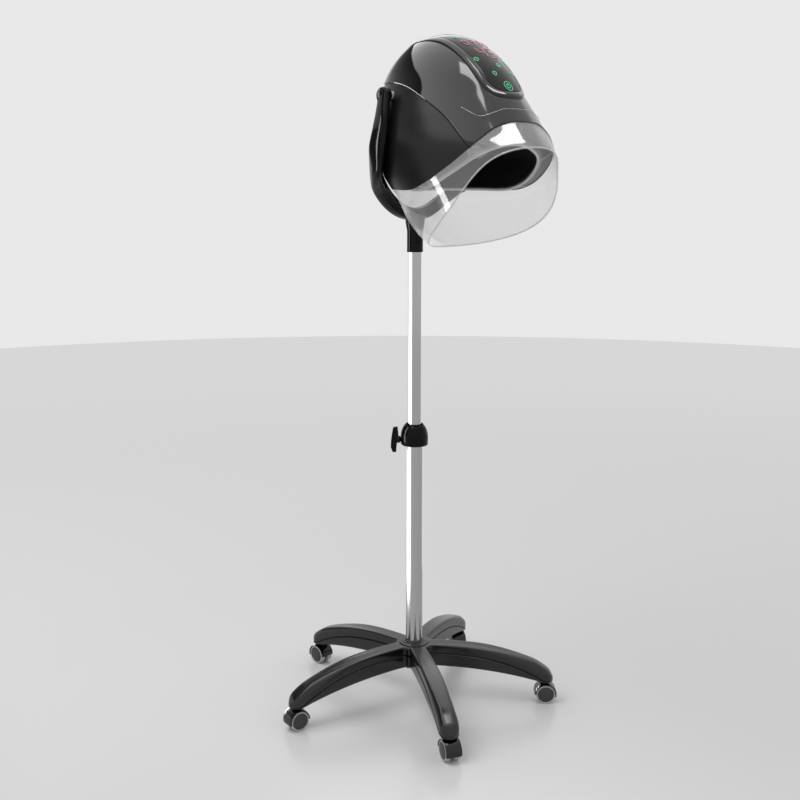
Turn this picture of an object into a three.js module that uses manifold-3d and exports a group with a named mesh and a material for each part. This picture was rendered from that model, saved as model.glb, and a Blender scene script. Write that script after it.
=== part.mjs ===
// Hair color processor: a salon hood on a telescopic stand with five castors.
// Millimetres, +Z up, floor at Z = 0, the hood's opening faces -Y, the client's right is -X.

import * as THREE from 'three';
import { mergeVertices } from 'three/addons/utils/BufferGeometryUtils.js';
import Module from 'manifold-3d';

const wasm = await Module();
wasm.setup();

// Driving dimensions
const fitGap = 0.3;

// Star base
const castorCircleRadius = 300;
const baseHeading = -121.6;
const legCount = 5;
const hubRadius = 36;
const hubTop = 137;
const hubUnderside = 85;
const legRootWidth = 36;
const legTipWidth = 44;
const legTipTop = 92;
const legTipUnderside = 52;
const legTipReach = 22;
const legTopBend = 2.8;
const legUnderBend = 2.2;
const hubRingHeight = 8;
const hubFloor = 10;
const hubBossDrop = 4;
const hubBossRadius = 32;

// Castors
const wheelDiameter = 44;
const wheelWidth = 14;
const castorTrail = 5;
const castorWebWidth = 7;
const fenderWall = 2.5;
const stemDiameter = 10;
const stemSeatDepth = 26;
const axleDiameter = 6;
const castorHeadings = [-115, -45, 60, 90, 170];

// Mast
const lowerTubeDiameter = 38;
const upperTubeDiameter = 30;
const tubeWall = 1.5;
const lowerTubeTop = 630;
const upperTubeTop = 1080;
const slideOverlap = 300;
const clampDiameter = 62;
const clampHeight = 49;
const clampCover = 25;
const bushLength = 70;
const knobSpan = 56;
const knobReach = 17;
const knobThickness = 8;
const screwDiameter = 8;
const boltDiameter = 10;

// Yoke
const collarWall = 2.2;
const collarLength = 46;
const yokeArmWidth = 52;
const yokeArmThickness = 20;
const yokeEyeRadius = 17;
const yokeWebHeight = 28;
const yokeWebThickness = 33;
const pivotDiameter = 10;
const pivotCapRadius = 9.5;
const pivotCapSink = 4;
const pivotClearance = 9.4;
const pivotForward = 64;
const pivotHeight = 272;
const yokeWebSetback = 2;

// Hood
const hoodWidth = 354;
const hoodLength = 390;
const hoodHeight = 440;
const hoodDrop = 40;
const hoodWall = 3;
const seamGap = 0.4;
const bowlClearance = 30;
const bowlSqueeze = 0.86;
const airRingThickness = 5;
const bezelRise = 6;
const bezelWidth = 126;
const bezelLength = 262;
const bezelBorder = 10;
const bezelSlope = 46;
const displayWidth = 62;
const displayLength = 40;
const fanDiameter = 116;
const fanHeight = 18;
const motorDiameter = 48;
const heaterHeight = 16;
const heaterThickness = 9;
const glandDiameter = 14;

// Facet counts
const roundSides = 18;
const castorSides = 12;
const legSides = 12;
const legRows = 11;
const hoodSides = 30;
const hoodLevels = 17;

// Materials
const finish = (color, roughness, metalness, extra = {}) =>
  new THREE.MeshStandardMaterial({ color, roughness, metalness, ...extra });
const blackNylon = finish(0x1c1c1e, 0.42, 0);
const glossBlack = finish(0x0b0b0c, 0.12, 0);
const greyTyre = finish(0x77787a, 0.45, 0);
const satinSteel = finish(0xc9cacc, 0.24, 1);
const zincSteel = finish(0x9a9c9f, 0.4, 1);
const whiteNylon = finish(0xd9d8d2, 0.5, 0);
const crownGrey = finish(0x4b4b4d, 0.14, 0);
const charcoal = finish(0x2c2c2e, 0.3, 0);
const bowlBlack = finish(0x101011, 0.55, 0);
const ventGrey = finish(0x9b9b9b, 0.4, 0);
const clearPlastic = finish(0xe8ecec, 0.06, 0, { transparent: true, opacity: 0.3 });
const boardGreen = finish(0x1f5a38, 0.5, 0);
const heaterAlloy = finish(0xb0894a, 0.4, 0.8);
const displayRed = finish(0x3a0c10, 0.1, 0);

// Solids and meshes
function solid(geometry) {
  const bare = geometry.clone();
  bare.deleteAttribute('normal');
  bare.deleteAttribute('uv');
  const merged = mergeVertices(bare, 1e-4);
  const index = merged.index.array;
  const positions = merged.attributes.position;
  const corner = (i) => new THREE.Vector3().fromBufferAttribute(positions, i);
  const triangles = [];
  let volume = 0;
  for (let i = 0; i < index.length; i += 3) {
    const [a, b, c] = [index[i], index[i + 1], index[i + 2]];
    if (a === b || b === c || c === a) continue;
    triangles.push(a, b, c);
    volume += corner(a).dot(corner(b).cross(corner(c)));
  }
  if (volume < 0) {
    triangles.reverse();
  }
  return new wasm.Manifold(new wasm.Mesh({
    numProp: 3,
    vertProperties: new Float32Array(positions.array),
    triVerts: new Uint32Array(triangles),
  }));
}

function geometryOf(manifold) {
  const mesh = manifold.getMesh();
  const geometry = new THREE.BufferGeometry();
  geometry.setAttribute('position', new THREE.BufferAttribute(new Float32Array(mesh.vertProperties), 3));
  geometry.setIndex(new THREE.BufferAttribute(new Uint32Array(mesh.triVerts), 1));
  geometry.computeVertexNormals();
  return geometry;
}

function addPiece(parent, name, body, material) {
  const mesh = new THREE.Mesh(geometryOf(body), material);
  mesh.name = name;
  parent.add(mesh);
  return mesh;
}

const radians = THREE.MathUtils.degToRad;
const moved = (body, x, y, z) => body.translate([x, y, z]);
const turned = (body, degrees) => body.rotate([0, 0, degrees]);

// A round solid about Z from [radius, height] points that start and end on the axis or close on themselves.
function lathe(points, sides = roundSides) {
  const profile = points.map(([radius, height]) => new THREE.Vector2(radius, height));
  return solid(new THREE.LatheGeometry(profile, sides).rotateX(Math.PI / 2));
}

const rod = (radius, low, high, sides = roundSides) =>
  lathe([[0, low], [radius, low], [radius, high], [0, high]], sides);

const pipe = (outer, inner, low, high, sides = roundSides) =>
  lathe([[inner, low], [outer, low], [outer, high], [inner, high], [inner, low]], sides);

const block = (x, y, z) => solid(new THREE.BoxGeometry(x, y, z));

// A rod along X, for pivots and for holes across the hood.
const crossRod = (radius, from, to) => rod(radius, from, to).rotate([0, 90, 0]);

// A flat outline carried along its own normal: right, up and normal give the outline's frame.
function extruded(shape, depth, right, up, curveSegments = 12) {
  const geometry = new THREE.ExtrudeGeometry(shape, { depth, bevelEnabled: false, curveSegments });
  const normal = new THREE.Vector3().crossVectors(right, up);
  geometry.translate(0, 0, -depth / 2);
  geometry.applyMatrix4(new THREE.Matrix4().makeBasis(right, up, normal));
  return solid(geometry);
}

const axisX = new THREE.Vector3(1, 0, 0);
const axisY = new THREE.Vector3(0, 1, 0);
const axisZ = new THREE.Vector3(0, 0, 1);

// A body that follows stations, each with a centre and two half-width vectors, in rounded-square rings.
function swept(stations, sides, squareness) {
  const rows = stations.length - 1;
  const geometry = new THREE.CylinderGeometry(1, 1, 1, sides, rows);
  const positions = geometry.attributes.position;
  const rounded = (value) => Math.sign(value) * Math.abs(value) ** squareness;
  for (let i = 0; i < positions.count; i += 1) {
    const row = Math.round((0.5 - positions.getY(i)) * rows);
    const radius = Math.hypot(positions.getX(i), positions.getZ(i));
    const angle = Math.atan2(positions.getX(i), positions.getZ(i));
    const { center, across, rise } = stations[row];
    const point = center.clone();
    if (radius > 0.5) {
      point.addScaledVector(across, rounded(Math.sin(angle)));
      point.addScaledVector(rise, rounded(Math.cos(angle)));
    }
    positions.setXYZ(i, point.x, point.y, point.z);
  }
  return solid(geometry);
}

const product = new THREE.Group();

// Star base: five crowned legs that meet in a hub with a socket for the lower tube
const tubeSocketRadius = lowerTubeDiameter / 2 + fitGap;
const socketFloor = hubUnderside + hubFloor;
const hubFace = hubUnderside - hubBossDrop;
const boltHead = 8;
const boltHeadRadius = boltDiameter;
const boltSeat = hubFace + boltHead + 2 * fitGap;

function legSolid() {
  const reach = castorCircleRadius + legTipReach;
  const stations = [];
  for (let i = 0; i <= legRows; i += 1) {
    const run = Math.sin((i / legRows) * (Math.PI / 2)) ** 1.2;
    const distance = run * reach;
    const spread = Math.min(distance / castorCircleRadius, 1);
    const toTip = Math.max(distance - castorCircleRadius + legTipReach, 0) / (2 * legTipReach);
    const tipRounding = Math.sqrt(Math.max(1 - toTip ** 2.8, 0.02));
    const halfWidth = THREE.MathUtils.lerp(legRootWidth, legTipWidth, spread) / 2;
    const top = THREE.MathUtils.lerp(hubTop, legTipTop, spread ** legTopBend);
    const underside = THREE.MathUtils.lerp(hubUnderside, legTipUnderside, spread ** legUnderBend);
    const halfHeight = ((top - underside) / 2) * tipRounding;
    stations.push({
      center: new THREE.Vector3(distance, 0, underside + halfHeight),
      across: new THREE.Vector3(0, halfWidth * tipRounding, 0),
      rise: new THREE.Vector3(0, 0, halfHeight),
    });
  }
  return swept(stations, legSides, 0.5);
}

function starBase() {
  let star = rod(hubRadius, hubUnderside, hubTop).add(rod(hubBossRadius, hubFace, hubTop));
  const leg = legSolid();
  const stemSeat = rod(stemDiameter / 2 + fitGap, 0, legTipUnderside + stemSeatDepth, castorSides);
  const stemBore = moved(stemSeat, castorCircleRadius, 0, 0);
  for (let i = 0; i < legCount; i += 1) {
    star = star.add(turned(leg, baseHeading + (360 / legCount) * i));
  }
  for (let i = 0; i < legCount; i += 1) {
    star = star.subtract(turned(stemBore, baseHeading + (360 / legCount) * i));
  }
  return star
    .subtract(rod(tubeSocketRadius, socketFloor, hubTop * 2))
    .subtract(rod(boltDiameter / 2 + fitGap, 0, hubTop))
    .subtract(rod(boltHeadRadius + 4 * fitGap, 0, boltSeat));
}

function hubRing() {
  const low = hubTop + fitGap;
  const high = low + hubRingHeight;
  const outer = hubRadius - 1;
  return lathe([
    [tubeSocketRadius, low],
    [outer, low],
    [outer, low + hubRingHeight * 0.3],
    [tubeSocketRadius + 5, high],
    [tubeSocketRadius, high],
    [tubeSocketRadius, low],
  ]);
}

addPiece(product, 'star_base', starBase(), blackNylon);
addPiece(product, 'hub_ring', hubRing(), glossBlack);

// Base bolt: its head sits in the hub's boss and pulls the tube's foot plug down
const boltLow = boltSeat - fitGap;
const footPlugLow = socketFloor + fitGap;
const footPlugLength = 36;
const footPlugHigh = footPlugLow + footPlugLength;
const tubeBore = lowerTubeDiameter / 2 - tubeWall;
const baseBolt = rod(boltHeadRadius, boltLow - boltHead, boltLow, 6)
  .add(rod(boltDiameter / 2, boltLow - 1, footPlugHigh - 4));
addPiece(product, 'base_bolt', baseBolt, zincSteel);
const footPlug = pipe(tubeBore - fitGap, boltDiameter / 2 + fitGap, footPlugLow, footPlugHigh);
addPiece(product, 'foot_plug', footPlug, zincSteel);

// Castors: fender with a web between two wheels, a stem in the leg's tip and an axle through the web
const wheelRadius = wheelDiameter / 2;
const fenderInner = wheelRadius + 1.2;
const fenderOuter = fenderInner + fenderWall;
const wheelInnerFace = castorWebWidth / 2 + fitGap;
const wheelOuterFace = wheelInnerFace + wheelWidth;
const fenderHalfWidth = wheelOuterFace + 0.5;
const axleRadius = axleDiameter / 2;
const axleBore = axleRadius + fitGap;
const axleHalfLength = wheelOuterFace - 4;
const neckTop = legTipUnderside - fitGap;
const neckRadius = stemDiameter / 2 + 4.5;
const stemLow = wheelRadius + fenderInner + fitGap;
const fenderDip = 0.26;

function fenderOutline(outer, inner) {
  const shape = new THREE.Shape();
  shape.absarc(0, 0, outer, -fenderDip, Math.PI, false);
  if (inner > 0) {
    shape.absarc(0, 0, inner, Math.PI, -fenderDip, true);
  } else {
    shape.lineTo(0, 0);
  }
  shape.closePath();
  return shape;
}

function castorFender() {
  const sideways = (shape, width) =>
    moved(extruded(shape, width, axisX, axisZ, castorSides / 2), castorTrail, 0, wheelRadius);
  const band = sideways(fenderOutline(fenderOuter, fenderInner), fenderHalfWidth * 2);
  const web = sideways(fenderOutline(fenderInner + 1, 0), castorWebWidth);
  const bossRadius = axleRadius + 4;
  const alongAxle = (radius, halfLength) => {
    const bar = rod(radius, -halfLength, halfLength, castorSides).rotate([90, 0, 0]);
    return moved(bar, castorTrail, 0, wheelRadius);
  };
  const wheelRoom = alongAxle(fenderInner, fenderHalfWidth);
  const neck = rod(neckRadius, wheelRadius, neckTop, castorSides).subtract(wheelRoom);
  return band
    .add(neck)
    .add(web)
    .add(alongAxle(bossRadius, castorWebWidth / 2))
    .subtract(alongAxle(axleBore, fenderHalfWidth))
    .subtract(rod(stemDiameter / 2 + fitGap, stemLow, neckTop * 2, castorSides));
}

function castorWheel(side) {
  const face = wheelOuterFace;
  const edge = 2.5;
  const dish = wheelRadius - 5;
  const boreEnd = axleHalfLength + fitGap;
  const wheel = lathe([
    [axleBore, wheelInnerFace],
    [wheelRadius - edge, wheelInnerFace],
    [wheelRadius, wheelInnerFace + edge],
    [wheelRadius, face - edge],
    [wheelRadius - edge, face - 0.6],
    [dish, face - 0.6],
    [dish - 1, face - 1.4],
    [dish * 0.5, face - 0.2],
    [0, face],
    [0, boreEnd],
    [axleBore, boreEnd],
    [axleBore, wheelInnerFace],
  ], castorSides);
  return moved(wheel.rotate([-90 * side, 0, 0]), castorTrail, 0, wheelRadius);
}

function addCastor(number, heading) {
  const castor = new THREE.Group();
  const bearing = radians(baseHeading + (360 / legCount) * (number - 1));
  castor.position.set(castorCircleRadius * Math.cos(bearing), castorCircleRadius * Math.sin(bearing), 0);
  castor.rotation.z = radians(heading);
  const axleRod = rod(axleRadius, -axleHalfLength, axleHalfLength, castorSides).rotate([90, 0, 0]);
  const axle = moved(axleRod, castorTrail, 0, wheelRadius);
  const stemTop = legTipUnderside + stemSeatDepth - fitGap;
  const stem = rod(stemDiameter / 2, stemLow + fitGap, stemTop, castorSides);
  addPiece(castor, `castor_${number}_fender`, castorFender(), glossBlack);
  addPiece(castor, `castor_${number}_stem`, stem, zincSteel);
  addPiece(castor, `castor_${number}_axle`, axle, zincSteel);
  addPiece(castor, `castor_${number}_wheel_left`, castorWheel(1), greyTyre);
  addPiece(castor, `castor_${number}_wheel_right`, castorWheel(-1), greyTyre);
  product.add(castor);
}

castorHeadings.forEach((heading, i) => addCastor(i + 1, heading));

// Mast: the upper tube slides in a bush in the lower tube and is held by the clamp's screw and pad
const upperRadius = upperTubeDiameter / 2;
const upperBore = upperRadius - tubeWall;
const slideBore = upperRadius + fitGap;
const clampLow = lowerTubeTop - clampCover;
const clampTop = clampLow + clampHeight;
const screwHeight = clampLow + clampHeight * 0.25;
const screwBore = screwDiameter / 2 + fitGap;
const knobHeading = 135;
const padThickness = 1.6;
const padStart = slideBore;
const screwStart = padStart + padThickness + fitGap;
const upperTubeLow = lowerTubeTop - slideOverlap;
const radialHole = (radius, from, to) =>
  turned(moved(crossRod(radius, from, to), 0, 0, screwHeight), knobHeading);
const screwHole = radialHole(screwBore, 0, clampDiameter);

const lowerTube = pipe(lowerTubeDiameter / 2, tubeBore, footPlugLow, lowerTubeTop).subtract(screwHole);
const bushLow = lowerTubeTop - bushLength;
const bush = pipe(tubeBore - fitGap, slideBore, bushLow, lowerTubeTop).subtract(screwHole);

function clampCollar() {
  const shoulder = clampLow + clampHeight * 0.4;
  const outer = clampDiameter / 2;
  const neck = upperRadius + 5;
  const tubeTop = lowerTubeTop + fitGap;
  const dome = lathe([
    [lowerTubeDiameter / 2 + fitGap, clampLow],
    [outer - 3, clampLow],
    [outer, clampLow + 4],
    [outer, shoulder],
    [outer - 2.5, shoulder + (clampTop - shoulder) * 0.4],
    [outer - 8, shoulder + (clampTop - shoulder) * 0.8],
    [neck, clampTop],
    [slideBore, clampTop],
    [slideBore, tubeTop],
    [lowerTubeDiameter / 2 + fitGap, tubeTop],
    [lowerTubeDiameter / 2 + fitGap, clampLow],
  ]);
  return dome.subtract(screwHole);
}

function clampKnob() {
  const hubStart = clampDiameter / 2 + 1;
  const wingStart = hubStart + 5;
  const wingEnd = wingStart + knobReach;
  const wing = new THREE.Shape();
  const corner = knobReach * 0.45;
  wing.moveTo(wingStart, -knobSpan / 2 + corner);
  wing.lineTo(wingStart + 3, -knobSpan / 2);
  wing.lineTo(wingEnd - corner, -knobSpan / 2);
  wing.quadraticCurveTo(wingEnd, -knobSpan / 2, wingEnd, -knobSpan / 2 + corner);
  wing.lineTo(wingEnd, knobSpan / 2 - corner);
  wing.quadraticCurveTo(wingEnd, knobSpan / 2, wingEnd - corner, knobSpan / 2);
  wing.lineTo(wingStart + 3, knobSpan / 2);
  wing.lineTo(wingStart, knobSpan / 2 - corner);
  wing.closePath();
  const body = crossRod(screwDiameter / 2, screwStart, wingStart + 4)
    .add(crossRod(screwDiameter, hubStart, wingStart + 4))
    .add(extruded(wing, knobThickness, axisX, axisZ, 4));
  return turned(moved(body, 0, 0, screwHeight), knobHeading);
}

const slidePlugFlange = 12;
const plugSpigot = 20;
const slidePlug = rod(tubeBore - fitGap, upperTubeLow - slidePlugFlange, upperTubeLow - fitGap)
  .add(rod(upperBore - fitGap, upperTubeLow - 1, upperTubeLow + plugSpigot));
const clampPad = radialHole(screwDiameter / 2, padStart, padStart + padThickness);

addPiece(product, 'lower_tube', lowerTube, satinSteel);
addPiece(product, 'tube_bush', bush, whiteNylon);
addPiece(product, 'clamp_collar', clampCollar(), blackNylon);
addPiece(product, 'clamp_knob', clampKnob(), blackNylon);
addPiece(product, 'clamp_pad', clampPad, zincSteel);
addPiece(product, 'upper_tube', pipe(upperRadius, upperBore, upperTubeLow, upperTubeTop), satinSteel);
addPiece(product, 'slide_plug', slidePlug, whiteNylon);
addPiece(product, 'tube_top_plug', rod(upperBore - fitGap, upperTubeTop - plugSpigot, upperTubeTop), whiteNylon);

// The head turns on the upper tube, so its pieces are placed from the tube's top
const head = new THREE.Group();
head.position.z = upperTubeTop;
product.add(head);

// Hood form: ellipses stacked along a curve of [half width share, forward share, height share]
const hoodStations = [
  [0, 0.551, 0],
  [0.62, 0.569, 0.012],
  [0.7, 0.585, 0.03],
  [0.84, 0.59, 0.082],
  [0.915, 0.551, 0.159],
  [0.936, 0.495, 0.25],
  [0.97, 0.405, 0.364],
  [1, 0.349, 0.477],
  [0.92, 0.3, 0.591],
  [0.795, 0.272, 0.705],
  [0.665, 0.244, 0.818],
  [0.495, 0.226, 0.905],
  [0.315, 0.215, 0.961],
  [0, 0.215, 1],
];
const edgeShare = 0.291;
const heightAt = (share) => share * hoodHeight - hoodDrop;
const depthAt = (share) => -share * hoodLength;
const hoodCurve = new THREE.CatmullRomCurve3(
  hoodStations.map(([width, forward, height]) =>
    new THREE.Vector3((width * hoodWidth) / 2, depthAt(forward), heightAt(height))),
  false,
  'centripetal',
);

// The hood's form grown by a distance, with its height above the lower edge squeezed if asked.
function hoodForm(grow, squeeze = 1) {
  const rings = [];
  for (let i = 0; i <= hoodLevels; i += 1) {
    const point = hoodCurve.getPointAt(i / hoodLevels);
    const tangent = hoodCurve.getTangentAt(i / hoodLevels);
    const atPole = i === 0 || i === hoodLevels;
    const slope = Math.hypot(tangent.x, tangent.z);
    const outward = atPole ? 0 : tangent.z / slope;
    const upward = atPole ? Math.sign(i - 0.5) : -tangent.x / slope;
    const height = point.z + upward * grow;
    const base = heightAt(edgeShare);
    const squeezed = height > base ? base + (height - base) * squeeze : height;
    const radius = atPole ? 0 : Math.max(point.x + outward * grow, 0.5);
    rings.push({ radius, center: point.y, height: squeezed });
  }
  const profile = rings.map(({ radius, height }) => new THREE.Vector2(radius, height));
  const geometry = new THREE.LatheGeometry(profile, hoodSides).rotateX(Math.PI / 2);
  const positions = geometry.attributes.position;
  const stretch = hoodLength / hoodWidth;
  for (let i = 0; i < positions.count; i += 1) {
    const ring = rings[i % rings.length];
    positions.setY(i, ring.center + positions.getY(i) * stretch);
  }
  return solid(geometry);
}

// The hood's ellipse at a height: its half width, half length and middle.
function hoodEllipseAt(height) {
  const samples = hoodCurve.getSpacedPoints(400);
  const nearest = samples.reduce((a, b) => (Math.abs(b.z - height) < Math.abs(a.z - height) ? b : a));
  return { half: nearest.x, long: (nearest.x * hoodLength) / hoodWidth, middle: nearest.y };
}

// Where the hood's rear lies at a height, and how far its side reaches at a height and depth.
function hoodRearAt(height) {
  const { long, middle } = hoodEllipseAt(height);
  return middle + long;
}

function hoodSideAt(height, depth) {
  const { half, long, middle } = hoodEllipseAt(height);
  return half * Math.sqrt(Math.max(1 - ((depth - middle) / long) ** 2, 0));
}

// Yoke: a sleeve on the tube that flares into two curved arms
const pivotHalfSpan = hoodSideAt(pivotHeight, -pivotForward) + pivotClearance + yokeArmThickness / 2;
const washerThickness = 2.4;
const collarBore = slideBore;
const collarOuter = collarBore + collarWall;
const collarLow = -collarLength;
const washer = pipe(upperRadius, upperRadius - 8, fitGap, fitGap + washerThickness);
const collarBoreTop = washerThickness + 2 * fitGap;

function yokeStations() {
  const widest = hoodWidth / 2 + yokeArmThickness / 2 - 1;
  const depth = (share) => THREE.MathUtils.lerp(-pivotForward, yokeWebSetback, share);
  const route = [
    [pivotHalfSpan, depth(0), pivotHeight],
    [widest * 0.93, depth(-0.167), pivotHeight * 0.81],
    [widest, depth(-0.182), pivotHeight * 0.61],
    [widest * 0.89, depth(0.22), pivotHeight * 0.475],
    [widest * 0.7, depth(0.67), pivotHeight * 0.36],
    [widest * 0.455, depth(0.97), pivotHeight * 0.25],
    [widest * 0.285, depth(1), pivotHeight * 0.165],
    [0, depth(1), pivotHeight * 0.12],
  ];
  const rightSide = route.map(([x, y, z]) => new THREE.Vector3(-x, y, z));
  const leftSide = route.slice(0, -1).reverse().map(([x, y, z]) => new THREE.Vector3(x, y, z));
  const curve = new THREE.CatmullRomCurve3([...rightSide, ...leftSide], false, 'centripetal');
  const rows = 28;
  const stations = [];
  for (let i = 0; i <= rows; i += 1) {
    const along = i / rows;
    const fromEnd = Math.min(along, 1 - along) * 2;
    const tangent = curve.getTangentAt(along);
    const center = curve.getPointAt(along);
    const outward = new THREE.Vector3(center.x, center.y + pivotForward * 1.7, 0).normalize();
    const across = new THREE.Vector3().crossVectors(tangent, outward).normalize();
    const rise = new THREE.Vector3().crossVectors(across, tangent);
    const widening = THREE.MathUtils.smoothstep(fromEnd, 0, 0.35);
    const towardsWeb = THREE.MathUtils.smoothstep(fromEnd, 0.36, 0.64);
    const armHalfWidth = THREE.MathUtils.lerp(yokeEyeRadius, yokeArmWidth / 2, widening);
    const halfWidth = THREE.MathUtils.lerp(armHalfWidth, yokeWebHeight / 2, towardsWeb);
    const halfThickness = THREE.MathUtils.lerp(yokeArmThickness, yokeWebThickness, towardsWeb) / 2;
    stations.push({
      center,
      across: across.multiplyScalar(halfWidth),
      rise: rise.multiplyScalar(halfThickness),
    });
  }
  return stations;
}

const capFace = pivotHalfSpan + yokeArmThickness / 2 - pivotCapSink;

function yokeSolid() {
  const eye = (side) => {
    const boss = crossRod(yokeEyeRadius, -yokeArmThickness / 2, yokeArmThickness / 2);
    return moved(boss, side * pivotHalfSpan, -pivotForward, pivotHeight);
  };
  const sleeve = lathe([
    [0, collarLow],
    [collarOuter + 0.8, collarLow],
    [collarOuter, collarLow + 4],
    [collarOuter, 0],
    [collarOuter + 3, pivotHeight * 0.06],
    [collarOuter + 5, pivotHeight * 0.12],
    [0, pivotHeight * 0.16],
  ]);
  const acrossHood = (radius, from, to) => moved(crossRod(radius, from, to), 0, -pivotForward, pivotHeight);
  const capSeat = acrossHood(pivotCapRadius + fitGap, capFace, hoodWidth);
  const armFace = pivotHalfSpan - yokeArmThickness / 2;
  return swept(yokeStations(), 14, 0.7)
    .add(eye(-1))
    .add(eye(1))
    .add(sleeve)
    .subtract(rod(collarBore, collarLow * 2, collarBoreTop))
    .subtract(acrossHood(pivotDiameter / 2 + fitGap, -hoodWidth, hoodWidth))
    .subtract(capSeat)
    .subtract(capSeat.mirror([1, 0, 0]))
    .subtract(acrossHood(pivotCapRadius + fitGap, -armFace, armFace));
}

addPiece(head, 'swivel_washer', washer, whiteNylon);
addPiece(head, 'yoke', yokeSolid(), glossBlack);

// Side-view lines of the hood, as [forward share of the length, height share]; the seam runs over the pivots
const pivotShare = (pivotHeight + hoodDrop) / hoodHeight;
const edgeLine = [
  [-0.5, edgeShare],
  [0.385, edgeShare],
  [0.477, 0.318],
  [0.541, 0.35],
  [0.628, 0.407],
  [0.692, 0.468],
  [0.723, 0.516],
  [0.741, 0.559],
  [0.762, 0.583],
  [1.2, 0.586],
];
const seamLine = [
  [-0.5, 1.103 * pivotShare],
  [0.11, 1.086 * pivotShare],
  [0.274, 1.045 * pivotShare],
  [0.4, 0.967 * pivotShare],
  [0.485, 0.904 * pivotShare],
  [0.56, 0.833 * pivotShare],
  [0.62, 0.76 * pivotShare],
  [0.67, 0.695 * pivotShare],
  [0.7, 0.654 * pivotShare],
  [1.2, 0.141 * pivotShare],
];
const rimLine = [
  [-0.5, 0.023],
  [0.244, 0.023],
  [0.387, 0.057],
  [0.472, 0.091],
  [0.544, 0.132],
  [0.597, 0.175],
  [0.638, 0.216],
  [0.682, 0.28],
  [0.738, 0.377],
  [0.774, 0.42],
  [0.815, 0.455],
  [0.856, 0.477],
  [1.2, 0.56],
];

// Everything above a side-view line, across the whole width.
function above(line, lift = 0) {
  const shape = new THREE.Shape();
  const ceiling = heightAt(2);
  const points = line.map(([forward, height]) => [depthAt(forward), heightAt(height) + lift]);
  shape.moveTo(points[0][0], points[0][1]);
  points.slice(1).forEach(([y, z]) => shape.lineTo(y, z));
  shape.lineTo(points[points.length - 1][0], ceiling);
  shape.lineTo(points[0][0], ceiling);
  shape.closePath();
  return extruded(shape, hoodWidth * 2, axisY, axisZ);
}

const hood = new THREE.Group();
head.add(hood);

const outerForm = hoodForm(0);
const innerForm = hoodForm(-hoodWall);
const linedForm = hoodForm(-hoodWall - fitGap);
const shell = outerForm.subtract(innerForm);
const overEdge = above(edgeLine);
const pivotAxis = (radius, from, to) => moved(crossRod(radius, from, to), 0, -pivotForward, pivotHeight);
const pivotBore = pivotDiameter / 2 + fitGap;

// Control bezel: a raised tongue that runs from the crown down the hood's front
const slopeUp = new THREE.Vector3(0, Math.cos(radians(bezelSlope)), Math.sin(radians(bezelSlope)));
const bezelFoot = new THREE.Vector3(0, depthAt(0.682), heightAt(0.681));
const slopeColumnDepth = 200;
const slopeColumnRoot = 60;

function tongueOutline(inset) {
  const half = bezelWidth / 2 - inset;
  const shape = new THREE.Shape();
  const length = bezelLength - inset;
  shape.moveTo(-half, length - half * 0.4);
  shape.lineTo(-half, half + inset);
  shape.bezierCurveTo(-half, inset + half * 0.2, -half * 0.7, inset, 0, inset);
  shape.bezierCurveTo(half * 0.7, inset, half, inset + half * 0.2, half, half + inset);
  shape.lineTo(half, length - half * 0.4);
  shape.bezierCurveTo(half, length, -half, length, -half, length - half * 0.4);
  shape.closePath();
  return shape;
}

// An outline on the hood's front slope, carried outwards through the shell.
function slopeColumn(shape) {
  const normal = new THREE.Vector3().crossVectors(axisX, slopeUp);
  const place = bezelFoot.clone().addScaledVector(normal, slopeColumnDepth / 2 - slopeColumnRoot);
  return moved(extruded(shape, slopeColumnDepth, axisX, slopeUp, 6), place.x, place.y, place.z);
}

const tongueColumn = (inset) => slopeColumn(tongueOutline(inset));

const glassRise = bezelRise + 0.6;
const glassLow = bezelRise - 2;
const displayAlong = 132;
const bezelForm = hoodForm(bezelRise);
const glassForm = hoodForm(glassRise);
const glassBed = hoodForm(glassLow);
const glassColumn = tongueColumn(bezelBorder);

function displayColumn(grow) {
  const half = displayWidth / 2 + grow;
  const long = displayLength / 2 + grow;
  const shape = new THREE.Shape();
  shape.moveTo(-half, displayAlong - long);
  shape.lineTo(half, displayAlong - long);
  shape.lineTo(half, displayAlong + long);
  shape.lineTo(-half, displayAlong + long);
  shape.closePath();
  return slopeColumn(shape);
}

const bezel = bezelForm
  .subtract(hoodForm(fitGap))
  .intersect(tongueColumn(0))
  .subtract(glassForm.subtract(hoodForm(glassLow - fitGap)).intersect(tongueColumn(bezelBorder - fitGap)));
const glassPlate = glassForm.subtract(glassBed).intersect(glassColumn);

// Crown shell, rear shell with its pivot bosses, and the cord gland's hole
const glandHeight = heightAt(0.408);
const glandTilt = 30;
const glandSeat = hoodRearAt(glandHeight);
const alongDepth = (body) => moved(body.rotate([-90 - glandTilt, 0, 0]), 0, glandSeat, glandHeight);
const glandHole = alongDepth(rod(glandDiameter / 2 + fitGap, -40, 40));
const motorTop = heightAt(1);
const hoodCenter = depthAt(hoodStations[hoodStations.length - 1][1]);

const crownShell = shell.intersect(overEdge).intersect(above(seamLine, seamGap / 2));

function rearShell() {
  const bossReach = 26;
  const boss = pivotAxis(pivotDiameter * 1.1, -hoodWidth / 2, hoodWidth / 2)
    .intersect(hoodForm(-hoodWall / 2))
    .subtract(hoodForm(-hoodWall / 2 - bossReach, bowlSqueeze));
  return shell
    .subtract(above(seamLine, -seamGap / 2))
    .intersect(overEdge)
    .add(boss)
    .subtract(pivotAxis(pivotBore, -hoodWidth, hoodWidth))
    .subtract(glandHole);
}

addPiece(hood, 'crown_shell', crownShell, crownGrey);
addPiece(hood, 'rear_shell', rearShell(), charcoal);

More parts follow.
